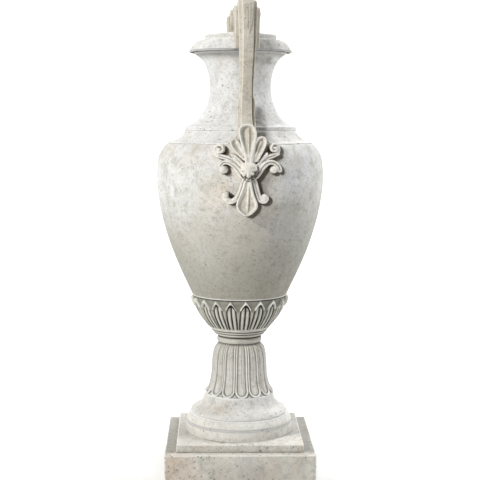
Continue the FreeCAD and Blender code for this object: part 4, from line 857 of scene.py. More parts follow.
# ------------------------------------------------------------------ handles
def place_handle(P, front):
    """From handle axes (across, out, up) to the object: front handle towards -Y, rear towards +Y."""
    ang = TURN + (math.pi if front else 0.0)
    c, s = math.cos(ang), math.sin(ang)
    x, y = P[..., 0], P[..., 1]
    return np.stack([x * c - y * s, x * s + y * c, P[..., 2]], -1)


def strap_path():
    """Front face of the flange from foot to rolled end: points (out, up), about 1.5 mm apart."""
    pts = [np.array([[150.5, 672.0], [133.0, 712.0]]),
           arc((133.0, 712.0), (107.5, 775.0), 90.6, 1, 60)[1:], arc((107.5, 775.0), (115.5, 840.0), 268.0, 1, 50)[1:],
           arc((115.5, 840.0), (127.0, 929.0), 350.0, -1, 64)[1:]]
    turn = np.linspace(0, 1.5 * math.pi, 96)[1:]
    rad = 27.0 - 5.0 * smooth(0.5 * math.pi, 1.5 * math.pi, turn)
    pts.append(np.stack([100 + rad * np.cos(turn), 929 + rad * np.sin(turn)], 1))
    path = np.vstack(pts)
    seg = np.concatenate([[0], np.cumsum(np.hypot(*np.diff(path, axis=0).T))])
    s = np.arange(0, seg[-1], 1.35)
    s = np.append(s, seg[-1])
    return np.stack([np.interp(s, seg, path[:, 0]), np.interp(s, seg, path[:, 1])], 1), s


def lean_of(up, on_roll, front):
    """How far the hand-set strap has crept off the handle's centre plane, in mm."""
    if front:
        out = -np.interp(up, [672, 712, 760, 800, 862, 929], [0.0, 0.2, 1.5, 2.6, 3.1, 2.6])
        return np.where(on_roll, -2.6, out)
    out = np.interp(up, [672, 712, 800, 862, 929], [0.0, 0.5, 2.6, 4.0, 4.8])
    return np.where(on_roll, 4.8, out)


def make_handle(name, front, seed):
    path, s = strap_path()
    tan = np.gradient(path, axis=0)
    tan /= np.linalg.norm(tan, axis=1, keepdims=True)
    for _ in range(3):
        tan[1:-1] = (tan[:-2] + tan[1:-1] * 2 + tan[2:]) / 4
    tan /= np.linalg.norm(tan, axis=1, keepdims=True)
    nor = np.stack([tan[:, 1], -tan[:, 0]], 1)                    # out of the face, away from the vessel
    roll = np.degrees(np.arctan2(path[:, 1] - 929, path[:, 0] - 100)) % 360
    on_roll = (np.arange(len(path)) > np.argmax(path[:, 1] >= 928.9))
    roll = np.where(on_roll, roll, 0)
    up = path[:, 1]
    half = np.interp(up, [672, 712, 760, 764.5, 768, 800, 929], [18.0, 18.0, 17.6, 16.6, 13.8, 13.8, 18.8])
    half = np.where(on_roll, 18.8, half)
    rib = np.interp(up, [672, 712, 760, 800, 929], [11.2, 11.2, 10.2, 9.6, 11.2])
    rib = np.where(on_roll, 11.2 - 1.5 * smooth(120, 250, roll), rib)
    lean = lean_of(up, on_roll, front)
    proud = np.interp(up, [672, 775, 840, 929], [8.2, 7.5, 8.0, 9.0])
    proud = np.where(on_roll, 9.0 - 7.2 * smooth(70, 235, roll), proud)
    thick = np.where(on_roll, 14.0 - (27.0 - np.hypot(path[:, 0] - 100, path[:, 1] - 929)), 14.0)
    # closed section, starting mid-back and going round: u across, v along the normal
    def section(hw, rw, pr, th):
        e = 1.8
        k = min(1.6, pr * 0.3)
        fr = np.linspace(1, -1, 27)
        def flank(deep):
            if deep:
                groove = [((hw + rw) / 2 + 0.8, -0.1), (rw + 2.4, -0.7), (rw + 1.4, -2.4), (rw + 0.4, -2.6), (rw, -0.6)]
            else:
                groove = [((hw + rw) / 2 + 0.8, 0.0), (rw + 2.6, 0.3), (rw + 1.4, 0.9), (rw + 0.5, 1.9), (rw + 0.1, 3.0)]
            return [(0, -th), (hw * 0.5, -th), (hw - e, -th), (hw - e * 0.3, -th + e * 0.3), (hw, -th + e), (hw, -th * 0.5), (hw, -e),
                    (hw - e * 0.3, -e * 0.3), (hw - e, 0.0)] + groove + [(rw, max(pr * 0.5, 3.2 if pr > 7 else pr * 0.5)), (rw, pr - k), (rw - k * 0.3, pr - k * 0.3)]
        pts = flank(not front)
        left = [(-x, y) for x, y in flank(front)[1:]][::-1]
        top = [(f * (rw - k), pr + 0.25 * (1 - f * f)) for f in fr]
        return np.array(pts + top + left)
    n_sec = len(section(20, 12, 9, 14))
    G = np.zeros((len(path), n_sec, 3))
    UV = np.zeros((len(path), n_sec, 2))
    for i in range(len(path)):
        sec = section(half[i], rib[i], proud[i], thick[i])
        G[i, :, 0] = sec[:, 0] + lean[i]
        G[i, :, 1] = path[i, 0] + nor[i, 0] * sec[:, 1]
        G[i, :, 2] = path[i, 1] + nor[i, 1] * sec[:, 1]
        UV[i] = sec
    # leaf laid over the top, its point hanging down the front of the rib
    n3 = np.zeros_like(G)
    n3[:, :, 1] = nor[:, 0][:, None]
    n3[:, :, 2] = nor[:, 1][:, None]
    front_pts = (UV[:, :, 1] > proud[:, None] - 0.2) & (np.abs(UV[:, :, 0]) < rib[:, None] - 1.0)
    tip_s = s[np.argmax(up >= 889.0)]
    end_s = s[np.argmax(roll >= 150)] if np.any(roll >= 150) else s[-1]
    along = (s - tip_s)[:, None]
    w = 9.2 * np.sqrt(np.clip(along / 34.0, 0, 1)) * smooth(end_s - tip_s + 8, end_s - tip_s - 14, along)
    dl = w - np.abs(UV[:, :, 0])
    leaf = np.where(front_pts & (along > 0), 1.5 * smooth(0.0, 1.6, dl) - 0.9 * bump(UV[:, :, 0], 0.9) * smooth(6, 12, along)
                    - 0.7 * bump(dl - 3.2, 0.9) * smooth(8, 16, along), 0.0)
    G = G + n3 * leaf[..., None]
    # painted shade: the groove on the rib's side away from the light is darker than the other, and the leaf's outline
    # and midrib and the back of the strap are darkened too; rib and flange edges get painted highlight along with their
    # wear
    shaded = np.where(UV[:, :, 0] * (-1 if front else 1) > 0, 1.0, 0.22)
    cav = np.clip(shaded * bump(np.abs(UV[:, :, 0]) - rib[:, None] - 0.8, 1.15) * (UV[:, :, 1] < proud[:, None] * 0.45) * (UV[:, :, 1] > -3.4)
                  + np.where(front_pts & (along > 0), 0.40 * bump(dl + 0.3, 0.9) + 0.25 * bump(UV[:, :, 0], 0.8) * smooth(6, 12, along), 0.0), 0, 1)
    cav = np.clip(cav + 0.8 * (UV[:, :, 1] < -13) * smooth(700, 720, up)[:, None] * 0.4, 0, 1)
    wear_and_highlight = np.clip(bump(np.abs(np.abs(UV[:, :, 0]) - rib[:, None]), 0.9) * (UV[:, :, 1] > proud[:, None] - 2.2)
                   + 0.8 * bump(np.abs(np.abs(UV[:, :, 0]) - half[:, None]), 0.9) * (UV[:, :, 1] > -2.2), 0, 1)
    N = grid_normals(G, False, True)
    centre = G.mean(1, keepdims=True)
    sign = np.sign(((G - centre) * N).sum(-1).mean())
    N = N * sign
    chips = np.clip(noise(G.reshape(-1, 3), 6.0, seed + 3) + 0.5 * noise(G.reshape(-1, 3), 2.8, seed + 4) - 0.25, 0, 1).reshape(wear_and_highlight.shape)
    G = G - N * (0.9 * chips * wear_and_highlight)[..., None]
    moved, dark = weather(G.reshape(-1, 3), N.reshape(-1, 3), seed, 0.20, 0.10, 150, (0.9, 1.8), 0.5)
    G = moved.reshape(G.shape)
    rows = len(path)
    co = [G.reshape(-1, 3)]
    faces = [grid_faces(rows, n_sec, False, True)]
    quads = faces[0]
    base = rows * n_sec
    caps = []
    for end in (0, rows - 1):
        mid = G[end].mean(0)
        ringv = (G[end] + mid) / 2
        co += [ringv, mid[None]]
        i0 = base
        base += n_sec + 1
        k = np.arange(n_sec)
        k2 = (k + 1) % n_sec
        o = end * n_sec
        q = np.stack([o + k2, o + k, i0 + k, i0 + k2], 1) if end == 0 else np.stack([o + k, o + k2, i0 + k2, i0 + k], 1)
        f = np.stack([i0 + k2, i0 + k, np.full(n_sec, i0 + n_sec)], 1) if end == 0 else np.stack([i0 + k, i0 + k2, np.full(n_sec, i0 + n_sec)], 1)
        quads = np.vstack([quads, q])
        caps.append(f)
    co = np.vstack(co)
    extra = len(co) - rows * n_sec
    pad = lambda a, v=0.0: np.concatenate([a.ravel(), np.full(extra, v)])
    co = place_handle(co, front)
    return mixed_mesh(name, co, quads, np.vstack(caps), {"cav": pad(cav), "wear_and_highlight": pad(wear_and_highlight), "pit": np.concatenate([dark, np.zeros(extra)])})


def mixed_mesh(name, co, quads, tris, attributes):
    mesh = bpy.data.meshes.new(name)
    loops = np.concatenate([quads.ravel(), tris.ravel()]).astype(np.int32)
    starts = np.concatenate([np.arange(len(quads)) * 4, len(quads) * 4 + np.arange(len(tris)) * 3]).astype(np.int32)
    mesh.vertices.add(len(co))
    mesh.vertices.foreach_set("co", (co * MM).astype(np.float32).ravel())
    mesh.loops.add(len(loops))
    mesh.loops.foreach_set("vertex_index", loops)
    mesh.polygons.add(len(starts))
    mesh.polygons.foreach_set("loop_start", starts)
    mesh.polygons.foreach_set("use_smooth", np.ones(len(starts), bool))
    for key, values in attributes.items():
        mesh.attributes.new(key, "FLOAT", "POINT").data.foreach_set("value", np.asarray(values, np.float32))
    mesh.update(calc_edges=True)
    mesh.validate()
    obj = bpy.data.objects.new(name, mesh)
    bpy.context.scene.collection.objects.link(obj)
    fix_normals(obj)
    return obj


for label, is_front, seed in (("front", True, 41), ("rear", False, 42)):
    strap = make_handle("handle_%s_stone" % label, is_front, seed)
    finish_piece(strap, M_HANDLE, ["handle_%s" % label])


# ------------------------------------------------------------------ scroll brackets
def make_bracket(name, front, seed):
    """Block that carries the rolled top on the collar, with a turned eye on both cheeks."""
    curve = arc((109.2, 886.0), (113.6, 929.0), 350.0, -1, 18)
    crown = np.stack([100 + 13.6 * np.cos(np.linspace(0, math.pi, 30)), 929 + 13.6 * np.sin(np.linspace(0, math.pi, 30))], 1)
    outline = np.vstack([[[78.0, 866.0]], [[98.0, 862.6]], [[106.6, 862.6]], [[107.0, 884.0]], curve, crown[1:],
                         arc((86.4, 929.0), (78.0, 905.0), 46.0, 1, 12)[1:], [[77.0, 890.0]]])
    # even spacing round the outline
    closed = np.vstack([outline, outline[:1]])
    seg = np.concatenate([[0], np.cumsum(np.hypot(*np.diff(closed, axis=0).T))])
    n = int(seg[-1] / 1.5)
    s = np.linspace(0, seg[-1], n, endpoint=False)
    ol = np.stack([np.interp(s, seg, closed[:, 0]), np.interp(s, seg, closed[:, 1])], 1)
    d = np.roll(ol, -1, 0) - np.roll(ol, 1, 0)
    nrm = np.stack([d[:, 1], -d[:, 0]], 1)
    nrm /= np.linalg.norm(nrm, axis=1, keepdims=True)
    area = 0.5 * np.sum(ol[:, 0] * np.roll(ol[:, 1], -1) - np.roll(ol[:, 0], -1) * ol[:, 1])
    if area < 0:
        nrm = -nrm
    # section across the width: straight middle, eased edges, then the cheek drawn in to its middle
    W, e = 24.3, 2.4
    prof = [(-W, 11.0), (-W + 0.0, 7.0), (-W + 0.9, 5.4), (-W + 0.9, 4.2), (-W, 3.2), (-W, e)]
    prof += [(-W + e * (1 - math.cos(t)), e * (1 - math.sin(t))) for t in np.linspace(0.25, 1.0, 4) * math.pi / 2]
    prof += [(x, 0.0) for x in np.linspace(-W + e + 1.5, W - e - 1.5, 22)]
    prof += [(-x, inset) for x, inset in prof[:10][::-1]]
    prof = np.array(prof)
    core = ol.mean(0)
    G = np.zeros((len(prof), n, 3))
    for i, (x, inset) in enumerate(prof):
        ring2 = ol - nrm * inset
        if inset >= 10:
            ring2 = core + (ol - core) * 0.45
        G[i, :, 0] = x + (-3.0 if front else 5.0)
        G[i, :, 1] = ring2[:, 0]
        G[i, :, 2] = ring2[:, 1]
    # painted shade in the groove round each cheek; the eased edges get painted highlight along with their wear
    cav = np.repeat(np.array([0.7 if abs(inset - 5.0) < 1.3 else 0.0 for x, inset in prof])[:, None], n, 1)
    wear_and_highlight = np.repeat(np.array([0.8 if 0.2 < inset < 2.6 else 0.0 for x, inset in prof])[:, None], n, 1)
    N = grid_normals(G, False, True)
    sign = np.sign(((G - G.mean((0, 1))) * N).sum(-1).mean())
    moved, dark = weather(G.reshape(-1, 3), (N * sign).reshape(-1, 3), seed, 0.18, 0.10, 80, (0.9, 1.6), 0.5)
    co = [moved]
    quads = grid_faces(len(prof), n, False, True)
    tris = []
    base = len(prof) * n
    for end, x in ((0, -W), (len(prof) - 1, W)):
        mid = G[end].mean(0)
        co.append(mid[None])
        k = np.arange(n)
        o = end * n
        t = np.stack([o + (k + 1) % n, o + k, np.full(n, base)], 1)
        tris.append(t if end == 0 else t[:, ::-1])
        base += 1
    extra = 2
    co = np.vstack(co)
    obj = mixed_mesh(name, place_handle(co, front), quads, np.vstack(tris),
                     {"cav": np.append(cav.ravel(), [0.0] * extra), "wear_and_highlight": np.append(wear_and_highlight.ravel(), [0.0] * extra), "pit": np.append(dark, [0.0] * extra)})
    return obj


def make_eye(name, front, seed):
    """Turned eyes of the scroll: ring, hollow and button on both cheeks, one piece through the drum."""
    half = [(24.3, 12.6), (25.3, 12.0), (25.6, 10.8), (25.2, 9.6), (24.2, 9.0), (23.4, 8.2), (23.6, 7.2), (24.8, 6.4), (26.0, 4.8), (26.8, 2.8), (27.1, 0.4)]
    prof = [(-x, r) for x, r in half[::-1]] + [(x, r) for x, r in np.stack([np.linspace(-22, 22, 12), np.full(12, 12.8)], 1)] + half
    prof = resample(np.array(prof), 0.9)
    n = 64
    t = np.arange(n) * 2 * math.pi / n
    G = np.stack([np.repeat(prof[:, 0][:, None], n, 1) + (-3.0 if front else 5.0), 100 + prof[:, 1][:, None] * np.cos(t), 929 + prof[:, 1][:, None] * np.sin(t)], -1)
    # painted shade in the hollow of each eye; its ring and button get painted highlight along with their wear
    cav = np.repeat(bump(prof[:, 1] - 8.4, 1.1)[:, None] * (np.abs(prof[:, 0])[:, None] > 22), n, 1)
    wear_and_highlight = np.repeat((bump(prof[:, 1] - 11.2, 0.9) + bump(prof[:, 1] - 2.0, 2.0))[:, None] * (np.abs(prof[:, 0])[:, None] > 24), n, 1)
    N = grid_normals(G, False, True)
    sign = np.sign(((G - G.mean((0, 1))) * N).sum(-1).mean())
    moved, dark = weather(G.reshape(-1, 3), (N * sign).reshape(-1, 3), seed, 0.08, 0.08, 0)
    co = np.vstack([moved, G[0].mean(0)[None], G[-1].mean(0)[None]])
    k = np.arange(n)
    a = np.stack([(k + 1) % n, k, np.full(n, len(moved))], 1)
    o = (len(prof) - 1) * n
    b = np.stack([o + k, o + (k + 1) % n, np.full(n, len(moved) + 1)], 1)
    return mixed_mesh(name, place_handle(co, front), grid_faces(len(prof), n, False, True), np.vstack([a, b]),
                      {"cav": np.append(np.clip(cav, 0, 1).ravel(), [0, 0]), "wear_and_highlight": np.append(np.clip(wear_and_highlight, 0, 1).ravel(), [0, 0]), "pit": np.append(dark, [0, 0])})


for label, is_front, seed in (("front", True, 51), ("rear", False, 52)):
    bracket = make_bracket("rim_bracket_%s_stone" % label, is_front, seed)
    finish_piece(bracket, M_HANDLE, ["rim_bracket_%s" % label])
    eye = make_eye("scroll_eye_%s_stone" % label, is_front, seed + 5)
    finish_piece(eye, M_HANDLE, ["rim_bracket_%s" % label])


# ------------------------------------------------------------------ palmettes
def px(points):
    """Drawing units of the ornament's layout sheet to (across, up) in mm."""
    p = np.asarray(points, float)
    return np.stack([(p[:, 0] - 562.0) * 0.1271, 631.5 - (p[:, 1] - 760.0) * 0.1262], 1)


def curve_through(points, count=90):
    """Smooth open curve through the points (Catmull-Rom)."""
    p = np.vstack([2 * points[0] - points[1], points, 2 * points[-1] - points[-2]])
    out = []
    n = max(4, count // (len(points) - 1))
    for i in range(1, len(p) - 2):
        t = np.linspace(0, 1, n, endpoint=False)[:, None]
        a, b, c, d = p[i - 1], p[i], p[i + 1], p[i + 2]
        out.append(0.5 * (2 * b + (c - a) * t + (2 * a - 5 * b + 4 * c - d) * t ** 2 + (3 * b - a - 3 * c + d) * t ** 3))
    out.append(points[-1][None])
    return np.vstack(out)


def near_line(X, Z, line):
    """Distance to an open line, how far along it (0..1), and the side (-1 or 1)."""
    best = np.full(X.shape, 1e9)
    along = np.zeros(X.shape)
    side = np.ones(X.shape)
    seg = np.hypot(*np.diff(line, axis=0).T)
    total = seg.sum()
    run = 0.0
    for (a, b), length in zip(zip(line[:-1], line[1:]), seg):
        if length < 1e-6:
            continue
        u = (b - a) / length
        dx, dz = X - a[0], Z - a[1]
        t = np.clip(dx * u[0] + dz * u[1], 0, length)
        ex, ez = dx - t * u[0], dz - t * u[1]
        d = np.hypot(ex, ez)
        m = d < best
        best[m] = d[m]
        along[m] = ((run + t) / total)[m]
        side[m] = np.sign(u[0] * dz - u[1] * dx)[m]
        run += length
    return best, along, side


def inside_depth(X, Z, outline):
    """Signed distance to a closed outline, positive inside."""
    closed = np.vstack([outline, outline[:1]])
    d, _, _ = near_line(X, Z, closed)
    inside = np.zeros(X.shape, bool)
    for (x0, z0), (x1, z1) in zip(closed[:-1], closed[1:]):
        if z0 == z1:
            continue
        cross = ((z0 > Z) != (z1 > Z)) & (X < (x1 - x0) * (Z - z0) / (z1 - z0) + x0)
        inside ^= cross
    return np.where(inside, d, -d)


def smooth_outline(points, count=140):
    p = px(points)
    return curve_through(np.vstack([p, p[:1]]), count)[:-1]


X0, X1, Z0, Z1, CELL = -72.0, 72.0, 536.0, 719.0, 0.72


def petal(X, Z, outline, base, tip, level, curl, veins, rim=1.6, hollow=2.8, rim_w=1.7, dark=0.26):
    """Spoon-shaped petal: a thick raised rim, a hollow inside it and a ridge along each vein; the tip turns out."""
    ol = smooth_outline(outline)
    d = inside_depth(X, Z, ol)
    b, t = px([base])[0], px([tip])[0]
    axis = t - b
    run = ((X - b[0]) * axis[0] + (Z - b[1]) * axis[1]) / (axis ** 2).sum()
    open_up = smooth(0.16, 0.46, run)
    h = level + curl * smooth(0.45, 1.0, run) + rim * bump(d - rim_w * 1.15, rim_w) - hollow * smooth(rim_w * 1.1, rim_w * 3.1, d) * open_up
    # painted shade in the hollow and along one side of each vein ridge; the rim gets painted highlight along with its
    # wear
    cav = dark * smooth(rim_w * 1.6, rim_w * 2.6, d) * open_up
    for vein in veins:
        v, along, side = near_line(X, Z, curve_through(px(vein), 40))
        fade = smooth(0.0, 0.14, along) * (1 - smooth(0.70, 0.97, along))
        h = h + (hollow * 0.85) * bump(v, 1.9) * fade
        cav = cav * (1 - 0.9 * bump(v, 2.0) * fade)
        cav = np.maximum(cav, 0.55 * bump(v - 2.3, 0.9) * fade * (d > 1.8) * (side < 0))
    h = h - 1.2 + 1.2 * smooth(-0.6, 1.1, d)
    return dict(h=h, d=d, cav=cav, wear_and_highlight=0.8 * bump(d - rim_w, rim_w * 0.8))


def pit(X, Z, centre, radius, level=0.7):
    """Sunk ground between two scrolls, painted fully dark: painted shade, together with the wash that has stayed there.
    """
    c = px([centre])[0]
    r = np.hypot(X - c[0], Z - c[1])
    return dict(h=np.full(X.shape, level), d=radius - r, cav=np.full(X.shape, 1.0), wear_and_highlight=np.zeros(X.shape))


def ribbon(X, Z, line, width0, width1, level0, level1, flutes=True, ready=False, bead=0.9):
    """Band along a line: raised edges and a channel between them."""
    path = line if ready else curve_through(px(line), 90)
    dist, along, side = near_line(X, Z, path)
    hw = width0 + (width1 - width0) * along
    d = hw - dist
    q = np.clip(dist / np.maximum(hw, 0.3), 0, 1)
    h = level0 + (level1 - level0) * along + 1.6 * np.sqrt(1 - 0.9 * q ** 2)
    cav = np.zeros(X.shape)
    if flutes:
        off = dist * side
        h = h + bead * bump(np.abs(off) - (hw - 1.0), 0.8) - 1.2 * bump(off, 0.85)
        # the channel is painted dark as shade, and the raised edges get painted highlight along with their wear
        cav = 0.8 * bump(off, 0.8)
    return dict(h=h, d=d, cav=cav, wear_and_highlight=bump(d - 0.9, 0.8))


def ball(X, Z, centre, radius, level, height):
    c = px([centre])[0]
    r = np.hypot(X - c[0], Z - c[1])
    q = np.clip(r / radius, 0, 1)
    # the crown of the ball gets painted highlight along with its wear
    return dict(h=level + height * np.sqrt(1 - q ** 2), d=radius - r, cav=np.zeros(X.shape), wear_and_highlight=0.7 * bump(r, radius * 0.7))


def spiral(centre, start, sweep, r0, r1, count=80):
    """Line winding in round centre; start and sweep in degrees, anticlockwise, in mm."""
    c = px([centre])[0]
    t = np.linspace(0, 1, count)
    a = np.radians(start + sweep * t)
    r = r0 + (r1 - r0) * t
    return np.stack([c[0] + r * np.cos(a), c[1] + r * np.sin(a)], 1)


def foliage(X, Z):
    E = []
    # filler that binds the petals to the boss, painted dark as shade between them
    E.append(petal(X, Z, [(455, 800), (410, 700), (400, 620), (450, 560), (520, 540), (600, 530), (680, 560), (730, 620), (720, 690), (680, 800)],
                   (570, 800), (570, 540), 3.0, 0.0, [], rim=0.0, hollow=0.0, dark=0.8))
    # volute stems and volutes
    for stem, ring, eye in (
            ([(520, 800), (440, 745), (375, 672), (290, 618), (200, 590), (115, 562)], ((163, 478), 248.0, -440.0, 9.9, 3.4), (163, 476)),
            ([(640, 780), (700, 735), (765, 668), (850, 602), (935, 572), (1010, 540)], ((958, 462), 296.0, 440.0, 9.9, 3.4), (956, 458))):
        E.append(pit(X, Z, ring[0], 9.2))
        E.append(ribbon(X, Z, stem, 5.2, 3.4, 5.6, 5.4, bead=0.6))
        E.append(ribbon(X, Z, spiral(*ring), 2.7, 1.7, 6.4, 9.6, flutes=False, ready=True))
        E.append(ball(X, Z, eye, 2.5, 8.4, 3.4))
    # third petals
    E.append(petal(X, Z, [(492, 740), (430, 690), (372, 625), (322, 575), (330, 545), (365, 552), (420, 600), (480, 655), (520, 700)],
                   (500, 730), (325, 555), 6.2, 1.6, [], rim=0.8, hollow=1.6, rim_w=1.2))
    E.append(petal(X, Z, [(662, 740), (700, 690), (752, 625), (812, 558), (848, 524), (850, 556), (812, 612), (760, 675), (706, 738)],
                   (680, 730), (850, 530), 6.2, 1.6, [], rim=0.8, hollow=1.6, rim_w=1.2))
    # middle curls: an arch that ends in a ball
    E.append(pit(X, Z, (214, 738), 5.2))
    E.append(ribbon(X, Z, [(520, 905), (468, 868), (418, 796), (360, 726), (300, 684), (240, 668), (196, 684), (168, 722)], 4.6, 3.2, 6.2, 7.4, bead=0.5))
    E.append(ball(X, Z, (204, 778), 7.0, 5.6, 7.2))
    E.append(pit(X, Z, (916, 742), 5.6))
    E.append(ribbon(X, Z, [(640, 905), (690, 862), (742, 790), (792, 722), (850, 676), (914, 668), (974, 698), (1014, 748), (1024, 786)], 4.8, 4.0, 6.4, 8.4, bead=0.5))
    E.append(ball(X, Z, (938, 780), 6.6, 5.8, 7.2))
    # second petals
    E.append(petal(X, Z, [(520, 660), (440, 580), (372, 500), (328, 430), (322, 372), (345, 328), (382, 314), (424, 334), (456, 392), (490, 470), (530, 560), (556, 650)],
                   (530, 660), (370, 318), 8.0, 4.4, [[(392, 362), (430, 440), (478, 520), (526, 610)]], rim=1.6, hollow=3.2))
    E.append(petal(X, Z, [(604, 660), (622, 570), (650, 460), (672, 380), (706, 318), (760, 286), (806, 294), (836, 340), (838, 400), (812, 470), (762, 552), (690, 660)],
                   (640, 660), (790, 292), 8.4, 4.6, [[(770, 336), (730, 430), (688, 530), (654, 620)]], rim=1.6, hollow=3.2))
    # crown
    E.append(petal(X, Z, [(520, 690), (512, 590), (490, 480), (462, 370), (446, 270), (444, 200), (462, 146), (500, 110), (552, 97), (604, 98), (652, 122), (684, 172), (700, 240),
                          (696, 320), (672, 420), (644, 520), (624, 610), (616, 690)],
                   (568, 690), (568, 100), 11.4, 5.4, [[(584, 120), (582, 260), (576, 420), (572, 640)]], rim=2.2, hollow=4.2, rim_w=2.3))
    # lower scrolls
    E.append(pit(X, Z, (285, 1188), 5.0))
    E.append(ribbon(X, Z, [(530, 905), (494, 960), (470, 1040), (446, 1120), (412, 1190), (368, 1240), (312, 1262), (262, 1240), (234, 1196), (240, 1150)],
                    4.0, 4.4, 7.0, 8.4, flutes=False))
    E.append(ribbon(X, Z, [(610, 905), (652, 960), (676, 1050), (700, 1140), (724, 1216), (768, 1256), (806, 1252)], 4.2, 4.4, 7.2, 8.6, bead=0.5))
    E.append(ball(X, Z, (800, 1220), 8.4, 6.0, 8.0))
    # tongue
    E.append(petal(X, Z, [(540, 895), (502, 960), (480, 1050), (448, 1150), (414, 1240), (402, 1316), (424, 1384), (470, 1440), (520, 1474), (552, 1480), (588, 1468), (640, 1424),
                          (684, 1366), (698, 1310), (680, 1240), (646, 1150), (622, 1050), (606, 960), (590, 895)],
                   (560, 860), (550, 1480), 11.6, 4.2, [[(556, 1450), (562, 1300), (566, 1120), (570, 930)]], rim=1.8, hollow=3.0, rim_w=1.9, dark=0.2))
    # boss
    ol = smooth_outline([(462, 770), (474, 706), (516, 668), (575, 652), (634, 668), (674, 708), (690, 770), (682, 838), (650, 888), (604, 920), (568, 936), (530, 916), (494, 888), (470, 836)])
    d = inside_depth(X, Z, ol)
    q = np.clip(1 - d / 13.2, 0, 1)
    c = px([(574, 770)])[0]
    ang = np.arctan2(Z - c[1], X - c[0])
    lower = smooth(5.0, -6.0, Z - c[1]) * smooth(0.15, 0.45, q)
    flute = np.cos(ang * 8.0 + 0.6)
    lump = 1.1 * noise(np.stack([X.ravel(), Z.ravel(), np.zeros(X.size)], 1), 7.0, 77).reshape(X.shape)
    # painted shade between the flutes and over the boss's lower right, away from the light; its crown gets painted
    # highlight along with its wear
    E.append(dict(h=7.0 + 12.8 * np.sqrt(np.clip(1 - q ** 2.2, 0, 1)) + 1.5 * flute * lower + lump * smooth(0, 3, d), d=d,
                  cav=np.clip(0.6 * np.clip(-flute, 0, 1) * lower + 0.9 * smooth(3.0, 13.0, 0.55 * (X - c[0]) - 0.85 * (Z - c[1])) * smooth(0.35, 0.8, q), 0, 1), wear_and_highlight=0.5 * bump(q, 0.4)))
    for e in E:
        e["d"] = e["d"] + 0.6
    return E


